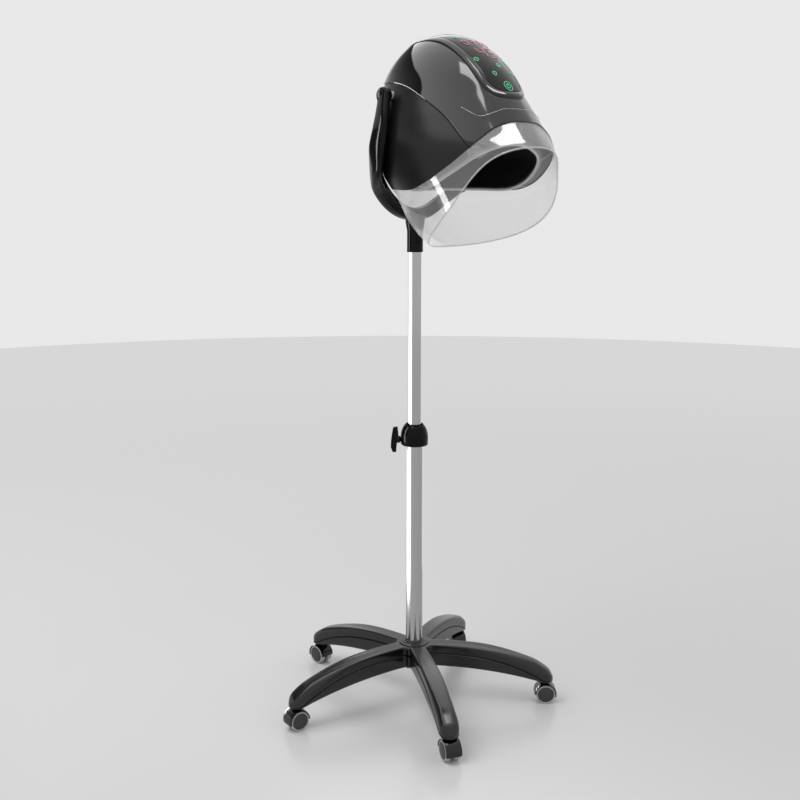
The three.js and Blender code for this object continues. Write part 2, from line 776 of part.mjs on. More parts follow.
// Inner bowl with the heater band around it, and the perforated air ring between bowl and shell
const bowlOuter = hoodForm(-hoodWall - bowlClearance, bowlSqueeze);
const bowlInner = hoodForm(-2 * hoodWall - bowlClearance, bowlSqueeze);
const bowl = bowlOuter.subtract(bowlInner).intersect(overEdge);
const airRing = linedForm
  .subtract(hoodForm(-hoodWall - bowlClearance + fitGap, bowlSqueeze))
  .intersect(overEdge)
  .subtract(above(edgeLine, airRingThickness));
const heaterLow = heightAt(0.566);
const slab = (low, high) => moved(block(hoodWidth * 2, hoodLength * 4, high - low), 0, 0, (low + high) / 2);
const heater = hoodForm(-hoodWall - bowlClearance + fitGap + heaterThickness, bowlSqueeze)
  .subtract(hoodForm(-hoodWall - bowlClearance + fitGap, bowlSqueeze))
  .intersect(slab(heaterLow, heaterLow + heaterHeight));

// Clear visor below the shells, held by a clip on each side
const clipWidth = 16;
const clipTall = 46;
const clipThickness = 2.4;
const visorBody = shell.subtract(above(edgeLine, -seamGap)).intersect(above(rimLine));

function clipBox(side, grow) {
  const box = block(hoodWidth / 3, clipWidth + grow, clipTall).rotate([-48, 0, 0]);
  return moved(box, (side * hoodWidth) / 2.6, depthAt(0.692), heightAt(0.468));
}

function visorClip(side) {
  return linedForm
    .subtract(hoodForm(-hoodWall - fitGap - clipThickness))
    .intersect(clipBox(side, 0));
}

const clipRoom = hoodForm(-hoodWall).subtract(hoodForm(-hoodWall - 2 * fitGap - clipThickness));
const slottedRing = airRing
  .subtract(clipRoom.intersect(clipBox(-1, 2 * fitGap)))
  .subtract(clipRoom.intersect(clipBox(1, 2 * fitGap)));

addPiece(hood, 'inner_bowl', bowl, bowlBlack);
addPiece(hood, 'air_ring', slottedRing, ventGrey);
addPiece(hood, 'heater_band', heater, heaterAlloy);
addPiece(hood, 'visor', visorBody, clearPlastic);
addPiece(hood, 'visor_clip_right', visorClip(-1), whiteNylon);
addPiece(hood, 'visor_clip_left', visorClip(1), whiteNylon);

// Control panel on the bezel and its board under the crown
const boardWidth = 76;
const boardLength = 54;
const boardThickness = 2;
const boardDepth = 8;
const boardAlong = 106;
const boardPlace = bezelFoot.clone().addScaledVector(slopeUp, boardAlong);

function controlBoard() {
  const normal = new THREE.Vector3().crossVectors(axisX, slopeUp);
  const sheet = new THREE.Shape();
  sheet.moveTo(-boardWidth / 2, -boardLength / 2);
  sheet.lineTo(boardWidth / 2, -boardLength / 2);
  sheet.lineTo(boardWidth / 2, boardLength / 2);
  sheet.lineTo(-boardWidth / 2, boardLength / 2);
  sheet.closePath();
  let board = extruded(sheet, boardThickness, axisX, slopeUp);
  const post = new THREE.Shape();
  post.absarc(0, 0, 3, 0, Math.PI * 2, false);
  for (const x of [-1, 1]) {
    for (const y of [-1, 1]) {
      const pillar = extruded(post, hoodWall * 20, axisX, slopeUp, 4);
      const lift = normal.clone().multiplyScalar(hoodWall * 10);
      lift.addScaledVector(slopeUp, y * (boardLength / 2 - 6));
      board = board.add(moved(pillar, x * (boardWidth / 2 - 6), lift.y, lift.z));
    }
  }
  const seat = boardPlace.clone().addScaledVector(normal, -boardDepth);
  return moved(board, seat.x, seat.y, seat.z).intersect(linedForm);
}

addPiece(hood, 'control_bezel', bezel, crownGrey);
addPiece(hood, 'touch_panel', glassPlate.subtract(displayColumn(fitGap)), glossBlack);
addPiece(hood, 'display_window', glassPlate.intersect(displayColumn(0)), displayRed);
addPiece(hood, 'control_board', controlBoard(), boardGreen);

// Fan under the crown: motor hung from the shell's top, wheel on its shaft
const fanTop = heightAt(0.906);
const fanLow = fanTop - fanHeight;
const shaftRadius = 3;
const motorLow = fanTop + 2;
const motorCan = rod(motorDiameter / 2, motorLow, motorTop).add(rod(shaftRadius, fanLow - 2, motorLow + 1));
const motor = moved(motorCan, 0, hoodCenter, 0).intersect(linedForm);

function fanWheel() {
  const bladeCount = 12;
  const radius = fanDiameter / 2;
  let wheel = pipe(radius, shaftRadius + fitGap, fanLow, fanLow + 2)
    .add(pipe(12, shaftRadius + fitGap, fanLow, fanTop));
  for (let i = 0; i < bladeCount; i += 1) {
    const blade = moved(block(radius * 0.45, 2, fanHeight), radius * 0.74, 0, fanLow + fanHeight / 2);
    wheel = wheel.add(turned(blade, (360 / bladeCount) * i));
  }
  return moved(wheel, 0, hoodCenter, 0);
}

addPiece(hood, 'fan_motor', motor, zincSteel);
addPiece(hood, 'fan_wheel', fanWheel(), whiteNylon);

// Cord gland in the rear shell
const gland = alongDepth(rod(glandDiameter / 2, -12, 10).add(rod(glandDiameter / 2 + 4, 4, 9)));
addPiece(hood, 'cord_gland', gland, blackNylon);

// Pivots: a cap-headed bolt through each yoke eye into the hood's boss, with a friction washer between
const capThickness = 6;

function pivotBolt(side) {
  const outerFace = capFace + fitGap;
  const shank = crossRod(pivotDiameter / 2, pivotHalfSpan - 34, outerFace + 1);
  const cap = crossRod(pivotCapRadius, outerFace, outerFace + capThickness * 0.6)
    .add(crossRod(pivotCapRadius * 0.75, outerFace, outerFace + capThickness));
  const bolt = moved(shank.add(cap), 0, -pivotForward, pivotHeight);
  return side < 0 ? bolt.mirror([1, 0, 0]) : bolt;
}

function frictionWasher(side) {
  const armFace = pivotHalfSpan - yokeArmThickness / 2 - fitGap;
  const disc = crossRod(pivotCapRadius, armFace - 14, armFace)
    .subtract(crossRod(pivotBore, -hoodWidth, hoodWidth));
  const seated = moved(disc, 0, -pivotForward, pivotHeight).subtract(hoodForm(fitGap));
  return side < 0 ? seated.mirror([1, 0, 0]) : seated;
}

addPiece(head, 'pivot_bolt_right', pivotBolt(-1), glossBlack);
addPiece(head, 'pivot_bolt_left', pivotBolt(1), glossBlack);
addPiece(hood, 'friction_washer_right', frictionWasher(-1), whiteNylon);
addPiece(hood, 'friction_washer_left', frictionWasher(1), whiteNylon);

// The origin lies on the floor, under the middle of the whole part
const bounds = new THREE.Box3().setFromObject(product);
const middle = bounds.getCenter(new THREE.Vector3());
product.position.set(-middle.x, -middle.y, -bounds.min.z);

export default product;
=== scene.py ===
"""Visual model of a hair color processor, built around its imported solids.

Smooth pieces replace the plain solids of the hood, visor, yoke, mast, star base and castors.
Lengths are in metres, in the part's own frame: +Z up, the hood's opening faces -Y.
"""

import bisect
import math

import bmesh
import bpy
from mathutils import Matrix, Vector


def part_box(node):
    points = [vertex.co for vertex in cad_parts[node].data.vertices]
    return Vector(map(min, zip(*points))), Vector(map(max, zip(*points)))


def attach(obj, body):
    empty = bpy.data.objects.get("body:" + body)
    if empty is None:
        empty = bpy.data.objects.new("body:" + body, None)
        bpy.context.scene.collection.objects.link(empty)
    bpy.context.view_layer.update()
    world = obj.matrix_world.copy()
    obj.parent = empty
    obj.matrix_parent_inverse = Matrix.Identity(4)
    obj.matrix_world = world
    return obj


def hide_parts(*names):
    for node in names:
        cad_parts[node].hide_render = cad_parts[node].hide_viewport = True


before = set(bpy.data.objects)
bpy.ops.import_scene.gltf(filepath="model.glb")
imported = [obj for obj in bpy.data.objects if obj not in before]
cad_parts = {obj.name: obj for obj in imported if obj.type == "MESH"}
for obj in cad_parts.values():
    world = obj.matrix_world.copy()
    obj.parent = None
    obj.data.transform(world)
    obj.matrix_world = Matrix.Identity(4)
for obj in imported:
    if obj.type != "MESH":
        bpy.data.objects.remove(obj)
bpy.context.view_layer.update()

bl_info = {
    "name": "Hair Color Processor",
    "version": (1, 0, 0),
    "blender": (4, 5, 0),
    "location": "View3D > Sidebar > Processor",
    "description": "Builds a salon hood on a castor stand around its packed solids",
    "category": "Add Mesh",
}

MM = 0.001
TURN = 2 * math.pi
WELD = 1e-6


def node_middle(node):
    """The middle of a CAD node's box."""
    low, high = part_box(node)
    return (low + high) / 2


MAST = node_middle("upper_tube") * Vector((1, 1, 0))
HEAD_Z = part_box("upper_tube")[1].z
CASTOR_COUNT = 5

# The hood's form: half width share, set-forward in mm and height share of each ellipse, from the bottom up
HOOD_WIDTH = 354 * MM
HOOD_LENGTH = 390 * MM
HOOD_HEIGHT = 440 * MM
HOOD_DROP = 40 * MM
HOOD_STATIONS = (
    (0, 215, 0), (0.62, 222, 0.012), (0.7, 228, 0.03), (0.84, 230, 0.082), (0.915, 215, 0.159),
    (0.936, 193, 0.25), (0.97, 158, 0.364), (1, 136, 0.477), (0.92, 117, 0.591),
    (0.795, 106, 0.705), (0.665, 95, 0.818), (0.495, 88, 0.905), (0.315, 84, 0.961), (0, 84, 1),
)

# Side-view lines of the hood: forward share of its length and height share
EDGE_SHARE = 0.291
EDGE_LINE = (
    (-0.5, EDGE_SHARE), (0.2, EDGE_SHARE), (0.385, EDGE_SHARE), (0.477, 0.318), (0.541, 0.35),
    (0.628, 0.407), (0.692, 0.468), (0.723, 0.516), (0.741, 0.559), (0.762, 0.583),
    (0.85, 0.586), (1.2, 0.586),
)
SEAM_LINE = (
    (-0.5, 0.782), (0.11, 0.77), (0.274, 0.741), (0.4, 0.686), (0.485, 0.641), (0.56, 0.591),
    (0.62, 0.539), (0.67, 0.493), (0.7, 0.464), (1.2, 0.1),
)
RIM_LINE = (
    (-0.5, 0.023), (0, 0.023), (0.244, 0.023), (0.387, 0.057), (0.472, 0.091), (0.544, 0.132),
    (0.597, 0.175), (0.638, 0.216), (0.682, 0.28), (0.738, 0.377), (0.774, 0.42),
    (0.815, 0.455), (0.856, 0.477), (1.2, 0.56),
)
LIP_LINE = (
    (-0.5, 0.7), (0.54, 0.662), (0.61, 0.634), (0.674, 0.605), (0.7, 0.6205), (0.713, 0.6386),
    (0.72, 0.641), (1.2, 0.641),
)


class Track:
    """A smooth centripetal curve through control points, asked by share of its length."""

    def __init__(self, controls, steps=24):
        points = [Vector(control) for control in controls]
        before = points[0] * 2 - points[1]
        after = points[-1] * 2 - points[-2]
        padded = [before, *points, after]
        self.points = []
        for a, b, c, d in zip(padded, padded[1:], padded[2:], padded[3:]):
            first, middle, last = (max((q - p).length, 1e-9) ** 0.5 for p, q in ((a, b), (b, c), (c, d)))
            leave = ((b - a) / first - (c - a) / (first + middle) + (c - b) / middle) * middle
            arrive = ((c - b) / middle - (d - b) / (middle + last) + (d - c) / last) * middle
            for i in range(steps):
                t = i / steps
                square = (3 * (c - b) - 2 * leave - arrive) * t**2
                cube = (2 * (b - c) + leave + arrive) * t**3
                self.points.append(b + leave * t + square + cube)
        self.points.append(points[-1])
        self.runs = [0.0]
        for p, q in zip(self.points, self.points[1:]):
            self.runs.append(self.runs[-1] + (q - p).length)

    def at(self, share):
        """The point at a share of the length."""
        run = min(max(share, 0), 1) * self.runs[-1]
        i = min(max(bisect.bisect_right(self.runs, run), 1), len(self.runs) - 1)
        span = max(self.runs[i] - self.runs[i - 1], 1e-12)
        return self.points[i - 1].lerp(self.points[i], (run - self.runs[i - 1]) / span)

    def heading(self, share, step=0.002):
        """The direction of travel at a share of the length."""
        return (self.at(share + step) - self.at(share - step)).normalized()


class SideLine:
    """A line across the hood in side view, asked for its height at a depth."""

    def __init__(self, shares, lift=0.0):
        points = [(f * HOOD_LENGTH, h * HOOD_HEIGHT - HOOD_DROP + lift, 0) for f, h in shares]
        self.points = Track(points).points
        self.forwards = [p.x for p in self.points]

    def height(self, y):
        """Height above the mast's top where the line crosses that depth."""
        i = min(max(bisect.bisect_left(self.forwards, -y), 1), len(self.points) - 1)
        a, b = self.points[i - 1], self.points[i]
        share = (-y - a.x) / max(b.x - a.x, 1e-12)
        return a.y + (b.y - a.y) * min(max(share, 0), 1)


class HoodForm:
    """The hood's stacked ellipses, grown by a distance and squeezed in height if asked."""

    LEVELS = 220
    track = Track(
        [(w * HOOD_WIDTH / 2, -f * MM, h * HOOD_HEIGHT - HOOD_DROP) for w, f, h in HOOD_STATIONS]
    )
    stretch = HOOD_LENGTH / HOOD_WIDTH

    def __init__(self, grow=0.0, squeeze=1.0):
        base = EDGE_SHARE * HOOD_HEIGHT - HOOD_DROP
        self.rings = []
        for i in range(self.LEVELS + 1):
            point = self.track.at(i / self.LEVELS)
            slope = self.track.heading(i / self.LEVELS)
            at_pole = i in (0, self.LEVELS)
            steep = max(math.hypot(slope.x, slope.z), 1e-9)
            height = point.z + grow * (math.copysign(1, i - 0.5) if at_pole else -slope.x / steep)
            radius = 0 if at_pole else max(point.x + grow * slope.z / steep, 0.0005)
            if height > base:
                height = base + (height - base) * squeeze
            self.rings.append(Vector((radius, point.y, height)))
        self.heights = [ring.z for ring in self.rings]

    def ring(self, share):
        """Radius, centre depth and height of the ellipse at a share of the curve."""
        place = min(max(share, 0), 1) * self.LEVELS
        i = min(int(place), self.LEVELS - 1)
        return self.rings[i].lerp(self.rings[i + 1], place - i)

    def point(self, angle, share):
        """The place on the form at an angle from its front, towards +X."""
        radius, centre, height = self.ring(share)
        x = radius * math.sin(angle)
        y = centre - radius * self.stretch * math.cos(angle)
        return Vector((MAST.x + x, MAST.y + y, HEAD_Z + height))

    def share_at(self, angle, line):
        """The share of the curve at which the form crosses a side-view line."""
        low, high = 0.0, 1.0
        for _ in range(30):
            share = (low + high) / 2
            radius, centre, height = self.ring(share)
            depth = centre - radius * self.stretch * math.cos(angle)
            if height < line.height(depth):
                low = share
            else:
                high = share
        return (low + high) / 2

    def crossing(self, line):
        """A function that gives the share of the crossing with a line at an angle."""
        return lambda angle: self.share_at(angle, line)

    def line_points(self, line, start, end, count):
        """Places along the crossing with a line between two angles."""
        angles = [mix(start, end, i / count) for i in range(count + 1)]
        return [self.point(angle, self.share_at(angle, line)) for angle in angles]

    def outside(self, place):
        """True if a place lies outside the form."""
        p = place - MAST
        height = p.z - HEAD_Z
        if height >= self.heights[-1]:
            return True
        i = min(max(bisect.bisect_right(self.heights, height), 1), self.LEVELS)
        low, high = self.rings[i - 1], self.rings[i]
        ring = low.lerp(high, (height - low.z) / max(high.z - low.z, 1e-9))
        radius = max(ring.x, 1e-6)
        return (p.x / radius) ** 2 + ((p.y - ring.y) / (radius * self.stretch)) ** 2 > 1


def mix(a, b, share):
    """A number between two others."""
    return a + (b - a) * share


def ease(low, high, value):
    """A smooth step from 0 at low to 1 at high."""
    t = min(max((value - low) / (high - low), 0), 1)
    return t * t * (3 - 2 * t)


# Sizes and colours that a user would change


def length(name, description, value):
    """A length property."""
    return bpy.props.FloatProperty(name=name, description=description, default=value, unit="LENGTH")


def ratio(name, description, value):
    """A property for a share of another size."""
    return bpy.props.FloatProperty(name=name, description=description, default=value)


def colour(name, description, value):
    """A colour property."""
    return bpy.props.FloatVectorProperty(
        name=name, description=description, subtype="COLOR", size=3, default=value, min=0, max=1
    )


class HoodSizes(bpy.types.PropertyGroup):
    """Sizes of the hood's visible pieces."""

    wall: length("Wall", "Wall of shells and visor", 3 * MM)
    crown_proud: length("Crown overhang", "How far the crown stands proud", 1.4 * MM)
    seam_gap: length("Seam gap", "Gap between crown and rear shell", 0.9 * MM)
    crown_bead: length("Crown bead", "Radius of the edge along the seam", 1.3 * MM)
    bowl_clearance: length("Bowl clearance", "Room between shell and bowl", 30 * MM)
    bowl_squeeze: ratio("Bowl squeeze", "Height of the bowl as a share of the shell", 0.86)
    bowl_lip: length("Bowl lip", "Radius of the bowl's rounded lip", 3.2 * MM)
    tongue_width: length("Tongue width", "Width of the control tongue", 126 * MM)
    tongue_length: length("Tongue length", "Length of the control tongue", 262 * MM)
    tongue_rise: length("Tongue rise", "Height of the tongue over the crown", 6 * MM)
    minutes: bpy.props.IntProperty(name="Minutes", description="Number on the display", default=45)


class StandSizes(bpy.types.PropertyGroup):
    """Sizes of the stand's visible pieces."""

    leg_reach: length("Leg reach", "From the mast to a leg's tip", 322 * MM)
    root_width: length("Root width", "Width of a leg at the hub", 36 * MM)
    tip_width: length("Tip width", "Width of a leg at its castor", 44 * MM)
    hub_flare: length("Hub flare", "Widening of the legs at the hub", 10 * MM)
    ledge: ratio("Ledge", "Step below each leg's cover, as a share of its width", 0.17)
    wheel_edge: length("Wheel edge", "Rounding of the tyres", 2.5 * MM)


class FinishColours(bpy.types.PropertyGroup):
    """Colours of the finishes."""

    crown: colour("Crown", "Glossy crown and bezel", (0.006, 0.006, 0.0062))
    shell: colour("Rear shell", "Satin rear shell", (0.006, 0.006, 0.0063))
    yoke: colour("Yoke", "Gloss black yoke", (0.0018, 0.0018, 0.0019))
    nylon: colour("Nylon", "Satin black base", (0.0035, 0.0035, 0.0036))
    tyre: colour("Tyre", "Grey castor tyres", (0.46, 0.46, 0.465))
    cap: colour("Wheel cap", "Dark wheel caps", (0.03, 0.03, 0.031))
    steel: colour("Tube", "Polished tubes", (0.45, 0.45, 0.454))
    bowl: colour("Bowl", "Black bowl", (0.0012, 0.0012, 0.0013))
    vent: colour("Air ring", "Grey perforated ring", (0.26, 0.26, 0.263))
    # Pale lip, ridges and ribs: partly their own light grey, partly a painted highlight along these edges.
    lip: colour("Lip", "Pale lip of the bowl", (0.55, 0.55, 0.555))
    visor: colour("Visor", "Clear visor", (0.6, 0.605, 0.61))
    digits: colour("Digits", "Lit digits", (0.34, 0.05, 0.09))
    keys: colour("Keys", "Lit keys", (0.035, 0.42, 0.17))
    floor: colour("Floor", "Pale floor around the stand", (0.725, 0.725, 0.729))
    # The far floor colour is painted light: the floor is painted paler towards its edge, where more light
    # falls on it.
    far_floor_painted_light: colour("Far floor", "Pale floor towards its edge", (0.87, 0.87, 0.875))


# Mesh helpers


def spun(profile, closed=False, steps=96, angle=TURN):
    """A shape turned about Z from radius and height points."""
    bm = bmesh.new()
    verts = [bm.verts.new((radius, 0, height)) for radius, height in profile]
    ends = [*zip(verts, verts[1:])]
    if closed:
        ends.append((verts[-1], verts[0]))
    edges = [bm.edges.new(pair) for pair in ends]
    whole = abs(angle - TURN) < WELD
    bmesh.ops.spin(
        bm, geom=verts + edges, cent=(0, 0, 0), axis=(0, 0, 1), angle=angle, steps=steps, use_merge=whole
    )
    return closed_up(bm) if whole else capped(bm)


def merged(bm, gap=WELD):
    """Merges points that meet."""
    bmesh.ops.remove_doubles(bm, verts=bm.verts, dist=gap)
    return bm


def closed_up(bm, gap=WELD):
    """Merges what meets and turns all faces outwards."""
    merged(bm, gap)
    bmesh.ops.recalc_face_normals(bm, faces=bm.faces)
    return bm


def capped(bm):
    """Fills the open ends, then closes up the shape."""
    bmesh.ops.holes_fill(bm, edges=[e for e in bm.edges if e.is_boundary])
    return closed_up(bm)


def in_mm(points):
    """Pairs given in millimetres, as metres."""
    return [(a * MM, b * MM) for a, b in points]


def mapped(columns, rows, place):
    """A grid whose points are placed by a function of two shares from 0 to 1."""
    bm = bmesh.new()
    bmesh.ops.create_grid(bm, x_segments=columns, y_segments=rows, size=0.5)
    for vert in bm.verts:
        across = round((vert.co.x + 0.5) * columns) / columns
        along = round((vert.co.y + 0.5) * rows) / rows
        vert.co = place(across, along)
    return bm


def joined(*parts):
    """One bmesh that holds all the given ones."""
    whole = bmesh.new()
    for part in parts:
        mesh = bpy.data.meshes.new("part")
        part.to_mesh(mesh)
        part.free()
        whole.from_mesh(mesh)
        bpy.data.meshes.remove(mesh)
    return whole


def moved(bm, matrix):
    """The same bmesh, moved by a matrix."""
    bmesh.ops.transform(bm, matrix=matrix, verts=bm.verts)
    return bm


def shifted(bm, x=0.0, y=0.0, z=0.0):
    """The same bmesh, shifted."""
    return moved(bm, Matrix.Translation((x, y, z)))


def placed(name, bm, material):
    """An object in the scene that takes over a bmesh."""
    mesh = bpy.data.meshes.new(name)
    bm.to_mesh(mesh)
    bm.free()
    mesh.materials.append(material)
    made = bpy.data.objects.new(name, mesh)
    bpy.context.scene.collection.objects.link(made)
    return made


def piece(name, bm, body, finish, replaces=()):
    """A smooth-shaded object that rides on a body and stands for CAD nodes."""
    made = placed(name, bm, FINISHES[finish])
    made.data.shade_smooth()
    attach(made, body)
    if replaces:
        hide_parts(*replaces)
    return made


def thicken(made, thickness, offset=-1):
    """Gives a sheet a wall."""
    wall = made.modifiers.new("Wall", "SOLIDIFY")
    wall.thickness = thickness
    wall.offset = offset
    wall.use_even_offset = True
    wall.use_quality_normals = True
    return made


def soften(made, width, segments=3, angle=35):
    """Rounds sharp edges."""
    edge = made.modifiers.new("Edges", "BEVEL")
    edge.width = width
    edge.segments = segments
    edge.limit_method = "ANGLE"
    edge.angle_limit = math.radians(angle)
    edge.harden_normals = True
    return made


def subdivide(made, levels=2):
    """Smooths a cage."""
    rounding = made.modifiers.new("Rounding", "SUBSURF")
    rounding.levels = levels
    rounding.render_levels = levels
    return made


def sweep(stations, sides, squareness):
    """A closed bar through stations of centre, half-width vector and half-thickness vector."""
    rows = len(stations) - 1

    def rounded(value):
        return math.copysign(abs(value) ** squareness, value)

    def place(across, along):
        centre, wide, thick = stations[round(along * rows)]
        turn = across * TURN
        return centre + wide * rounded(math.sin(turn)) + thick * rounded(math.cos(turn))

    return capped(merged(mapped(sides, rows, place)))


def tube(track, radius, rows, sides=10, closed=False):
    """A round bead along a track."""

    def place(across, along):
        heading = track.heading(along)
        side = heading.cross(Vector((0, 0, 1))).normalized()
        lift = side.cross(heading)
        turn = across * TURN
        return track.at(along) + (side * math.cos(turn) + lift * math.sin(turn)) * radius

    bm = merged(mapped(sides, rows, place))
    return closed_up(bm) if closed else capped(bm)


# Materials


class Wire:
    """A socket of a node tree that takes part in Python sums and products."""

    def __init__(self, finish, socket):
        self.finish = finish
        self.socket = socket

    def _math(self, operation, first, second):
        return self.finish.node("ShaderNodeMath", {"operation": operation}, {0: first, 1: second})

    def __add__(self, other):
        return self._math("ADD", self, other)

    def __mul__(self, other):
        return self._math("MULTIPLY", self, other)

    def __pow__(self, other):
        return self._math("POWER", self, other)


class Finish:
    """A node material on a Principled shader, with one method for every other node."""

    def __init__(self, name, **constants):
        self.material = bpy.data.materials.new(name)
        self.material.use_nodes = True
        self.tree = self.material.node_tree
        self.shader = self.tree.nodes["Principled BSDF"]
        self.set(**constants)

    def feed(self, socket, value):
        """Links a wire to a socket, or sets its value."""
        if isinstance(value, Wire):
            self.tree.links.new(value.socket, socket)
        else:
            socket.default_value = value

    def node(self, kind, settings=None, inputs=None, output=0):
        """A new node with its settings, then its socket values or links."""
        made = self.tree.nodes.new(kind)
        for key, value in (settings or {}).items():
            setattr(made, key, value)
        for key, value in (inputs or {}).items():
            self.feed(made.inputs[key], value)
        return Wire(self, made.outputs[output])

    def coordinates(self, scale=(1, 1, 1)):
        """Object coordinates, stretched if asked."""
        plain = self.node("ShaderNodeTexCoord", output="Object")
        if scale == (1, 1, 1):
            return plain
        return self.node("ShaderNodeMapping", inputs={"Vector": plain, "Scale": scale})

    def noise(self, scale, detail=2.0, stretch=(1, 1, 1)):
        """Cloudy noise from 0 to 1."""
        inputs = {"Vector": self.coordinates(stretch), "Scale": scale, "Detail": detail}
        return self.node("ShaderNodeTexNoise", inputs=inputs)

    def blend(self, factor, first, second):
        """A colour between two others."""
        inputs = {0: factor, 6: first, 7: second}
        return self.node("ShaderNodeMix", {"data_type": "RGBA"}, inputs, output=2)

    def set(self, **values):
        """Feeds sockets of the shader."""
        for socket, value in values.items():
            self.feed(self.shader.inputs[socket.replace("_", " ")], value)

    def bump(self, height, strength, distance):
        """A bump on the shader's normal."""
        inputs = {"Height": height, "Strength": strength, "Distance": distance}
        self.set(Normal=self.node("ShaderNodeBump", inputs=inputs))


def rgba(value, level=1.0):
    """A colour with alpha, brightened or darkened."""
    return (*(min(c * level, 1) for c in value), 1)


def moulded(name, value, roughness, grain=900, depth=0.04, spread=0.14, gloss=0.5):
    """Moulded plastic: cloudy colour, uneven gloss and a fine grain."""
    finish = Finish(name, Specular_IOR_Level=gloss)
    cloud = finish.noise(22, 4)
    base = finish.blend(cloud, rgba(value, 1 - spread), rgba(value, 1 + spread))
    finish.set(Base_Color=base, Roughness=cloud * roughness * 0.3 + roughness * 0.85)
    finish.bump(finish.noise(grain, 2), depth, 0.0004)
    return finish.material


def polished_tube(value):
    """Polished steel with faint drawing lines along the tube."""
    finish = Finish("polished_tube", Metallic=1.0)
    lines = finish.noise(60, 3, (18, 18, 0.15))
    base = finish.blend(lines, rgba(value, 0.95), rgba(value, 1.04))
    finish.set(Base_Color=base, Roughness=lines * 0.08 + 0.1)
    return finish.material


def plated(name, value, roughness):
    """Plated steel with a cloudy gloss."""
    finish = Finish(name, Metallic=1.0)
    cloud = finish.noise(90, 3)
    base = finish.blend(cloud, rgba(value, 0.85), rgba(value, 1.1))
    finish.set(Base_Color=base, Roughness=cloud * 0.16 + (roughness - 0.08))
    return finish.material


def clear_plastic(name, value, haze):
    """Clear plastic: a faint haze that thickens at grazing angles, under a full-strength gloss."""
    finish = Finish(name, Roughness=0.04, IOR=2.4, Coat_Weight=1.0, Coat_Roughness=0.015, Coat_IOR=2.4)
    facing = finish.node("ShaderNodeLayerWeight", inputs={"Blend": 0.3}, output="Facing")
    cloud = finish.noise(14, 3)
    finish.set(
        Base_Color=finish.blend(cloud, rgba(value, 0.92), rgba(value, 1.08)),
        Alpha=facing**2.0 * 0.45 + cloud * 0.02 + haze,
    )
    return finish.material


def lit(name, value, strength):
    """A lit symbol behind glass, its glow cloudy and uneven."""
    finish = Finish(name, Base_Color=rgba(value, 0.2), Roughness=0.06, Emission_Strength=strength)
    cloud = finish.noise(160, 1)
    finish.set(Emission_Color=finish.blend(cloud, rgba(value, 0.75), rgba(value, 1.25)))
    return finish.material


def make_finishes(colours):
    """All the finishes, by name."""
    return {
        "crown": moulded("crown_gloss", colours.crown, 0.07, 260, 0.006),
        "shell": moulded("rear_satin", colours.shell, 0.3, 700, 0.03, gloss=0.36),
        "yoke": moulded("yoke_gloss", colours.yoke, 0.1, 240, 0.01, gloss=0.14),
        "nylon": moulded("base_nylon", colours.nylon, 0.2, 1100, 0.1, gloss=0.56),
        "fender": moulded("fender_gloss", colours.yoke, 0.16, 240, 0.02),
        "tyre": moulded("tyre_grey", colours.tyre, 0.46, 900, 0.1),
        "cap": moulded("cap_grey", colours.cap, 0.36, 900, 0.08),
        "bowl": moulded("bowl_black", colours.bowl, 0.5, 700, 0.06),
        "vent": moulded("vent_grey", colours.vent, 0.4, 700, 0.05),
        # Partly a painted highlight: the pale lip finish stands in for light along the bowl's edge and the
        # grille's ribs.
        "lip": moulded("lip_pale_painted_highlight", colours.lip, 0.16, 500, 0.02),
        "white": moulded("white_nylon", (0.62, 0.62, 0.6), 0.45, 800, 0.05),
        "board": moulded("board_green", (0.02, 0.11, 0.05), 0.45, 600, 0.05),
        "glass": moulded("panel_glass", (0.002, 0.002, 0.0022), 0.05, 200, 0.003, gloss=0.25),
        "display": moulded("display_dark", (0.012, 0.004, 0.005), 0.06, 200, 0.004),
        "steel": polished_tube(colours.steel),
        "zinc": plated("zinc_steel", (0.4, 0.41, 0.42), 0.38),
        "heater": plated("heater_alloy", (0.46, 0.28, 0.1), 0.42),
        "clear": clear_plastic("clear_visor", colours.visor, 0.11),
        # The rim finish's thick haze is partly a painted highlight: it makes the visor's rim bead and lip
        # read as pale lines.
        "rim": clear_plastic("clear_rim_painted_highlight", colours.visor, 0.4),
        "digits": lit("lit_digits", colours.digits, 1.0),
        "keys": lit("lit_keys", colours.keys, 1.0),
    }


FINISHES = {}


# Hood


def hood_panel(form, low, high, start=-math.pi, end=math.pi, columns=176, rows=28):
    """A panel of the hood between two shares of its curve, which depend on the angle."""
    spans = {}

    def place(across, along):
        angle = mix(start, end, across)
        if across not in spans:
            spans[across] = (low(angle), high(angle))
        return form.point(angle, mix(*spans[across], along))

    return closed_up(mapped(columns, rows, place))


def edge_track(form, line, count=120, lift=0.0):
    """A closed track where a form crosses a side-view line."""
    points = form.line_points(line, -math.pi, math.pi, count)
    return Track([point + Vector((0, 0, lift)) for point in points], 2)


def seam_start(form, edge, seam):
    """The angle at which the seam leaves the edge line."""
    near, far = 0.3, math.pi / 2
    for _ in range(30):
        angle = (near + far) / 2
        if form.share_at(angle, seam) - form.share_at(angle, edge) < 0.002:
            near = angle
        else:
            far = angle
    return far


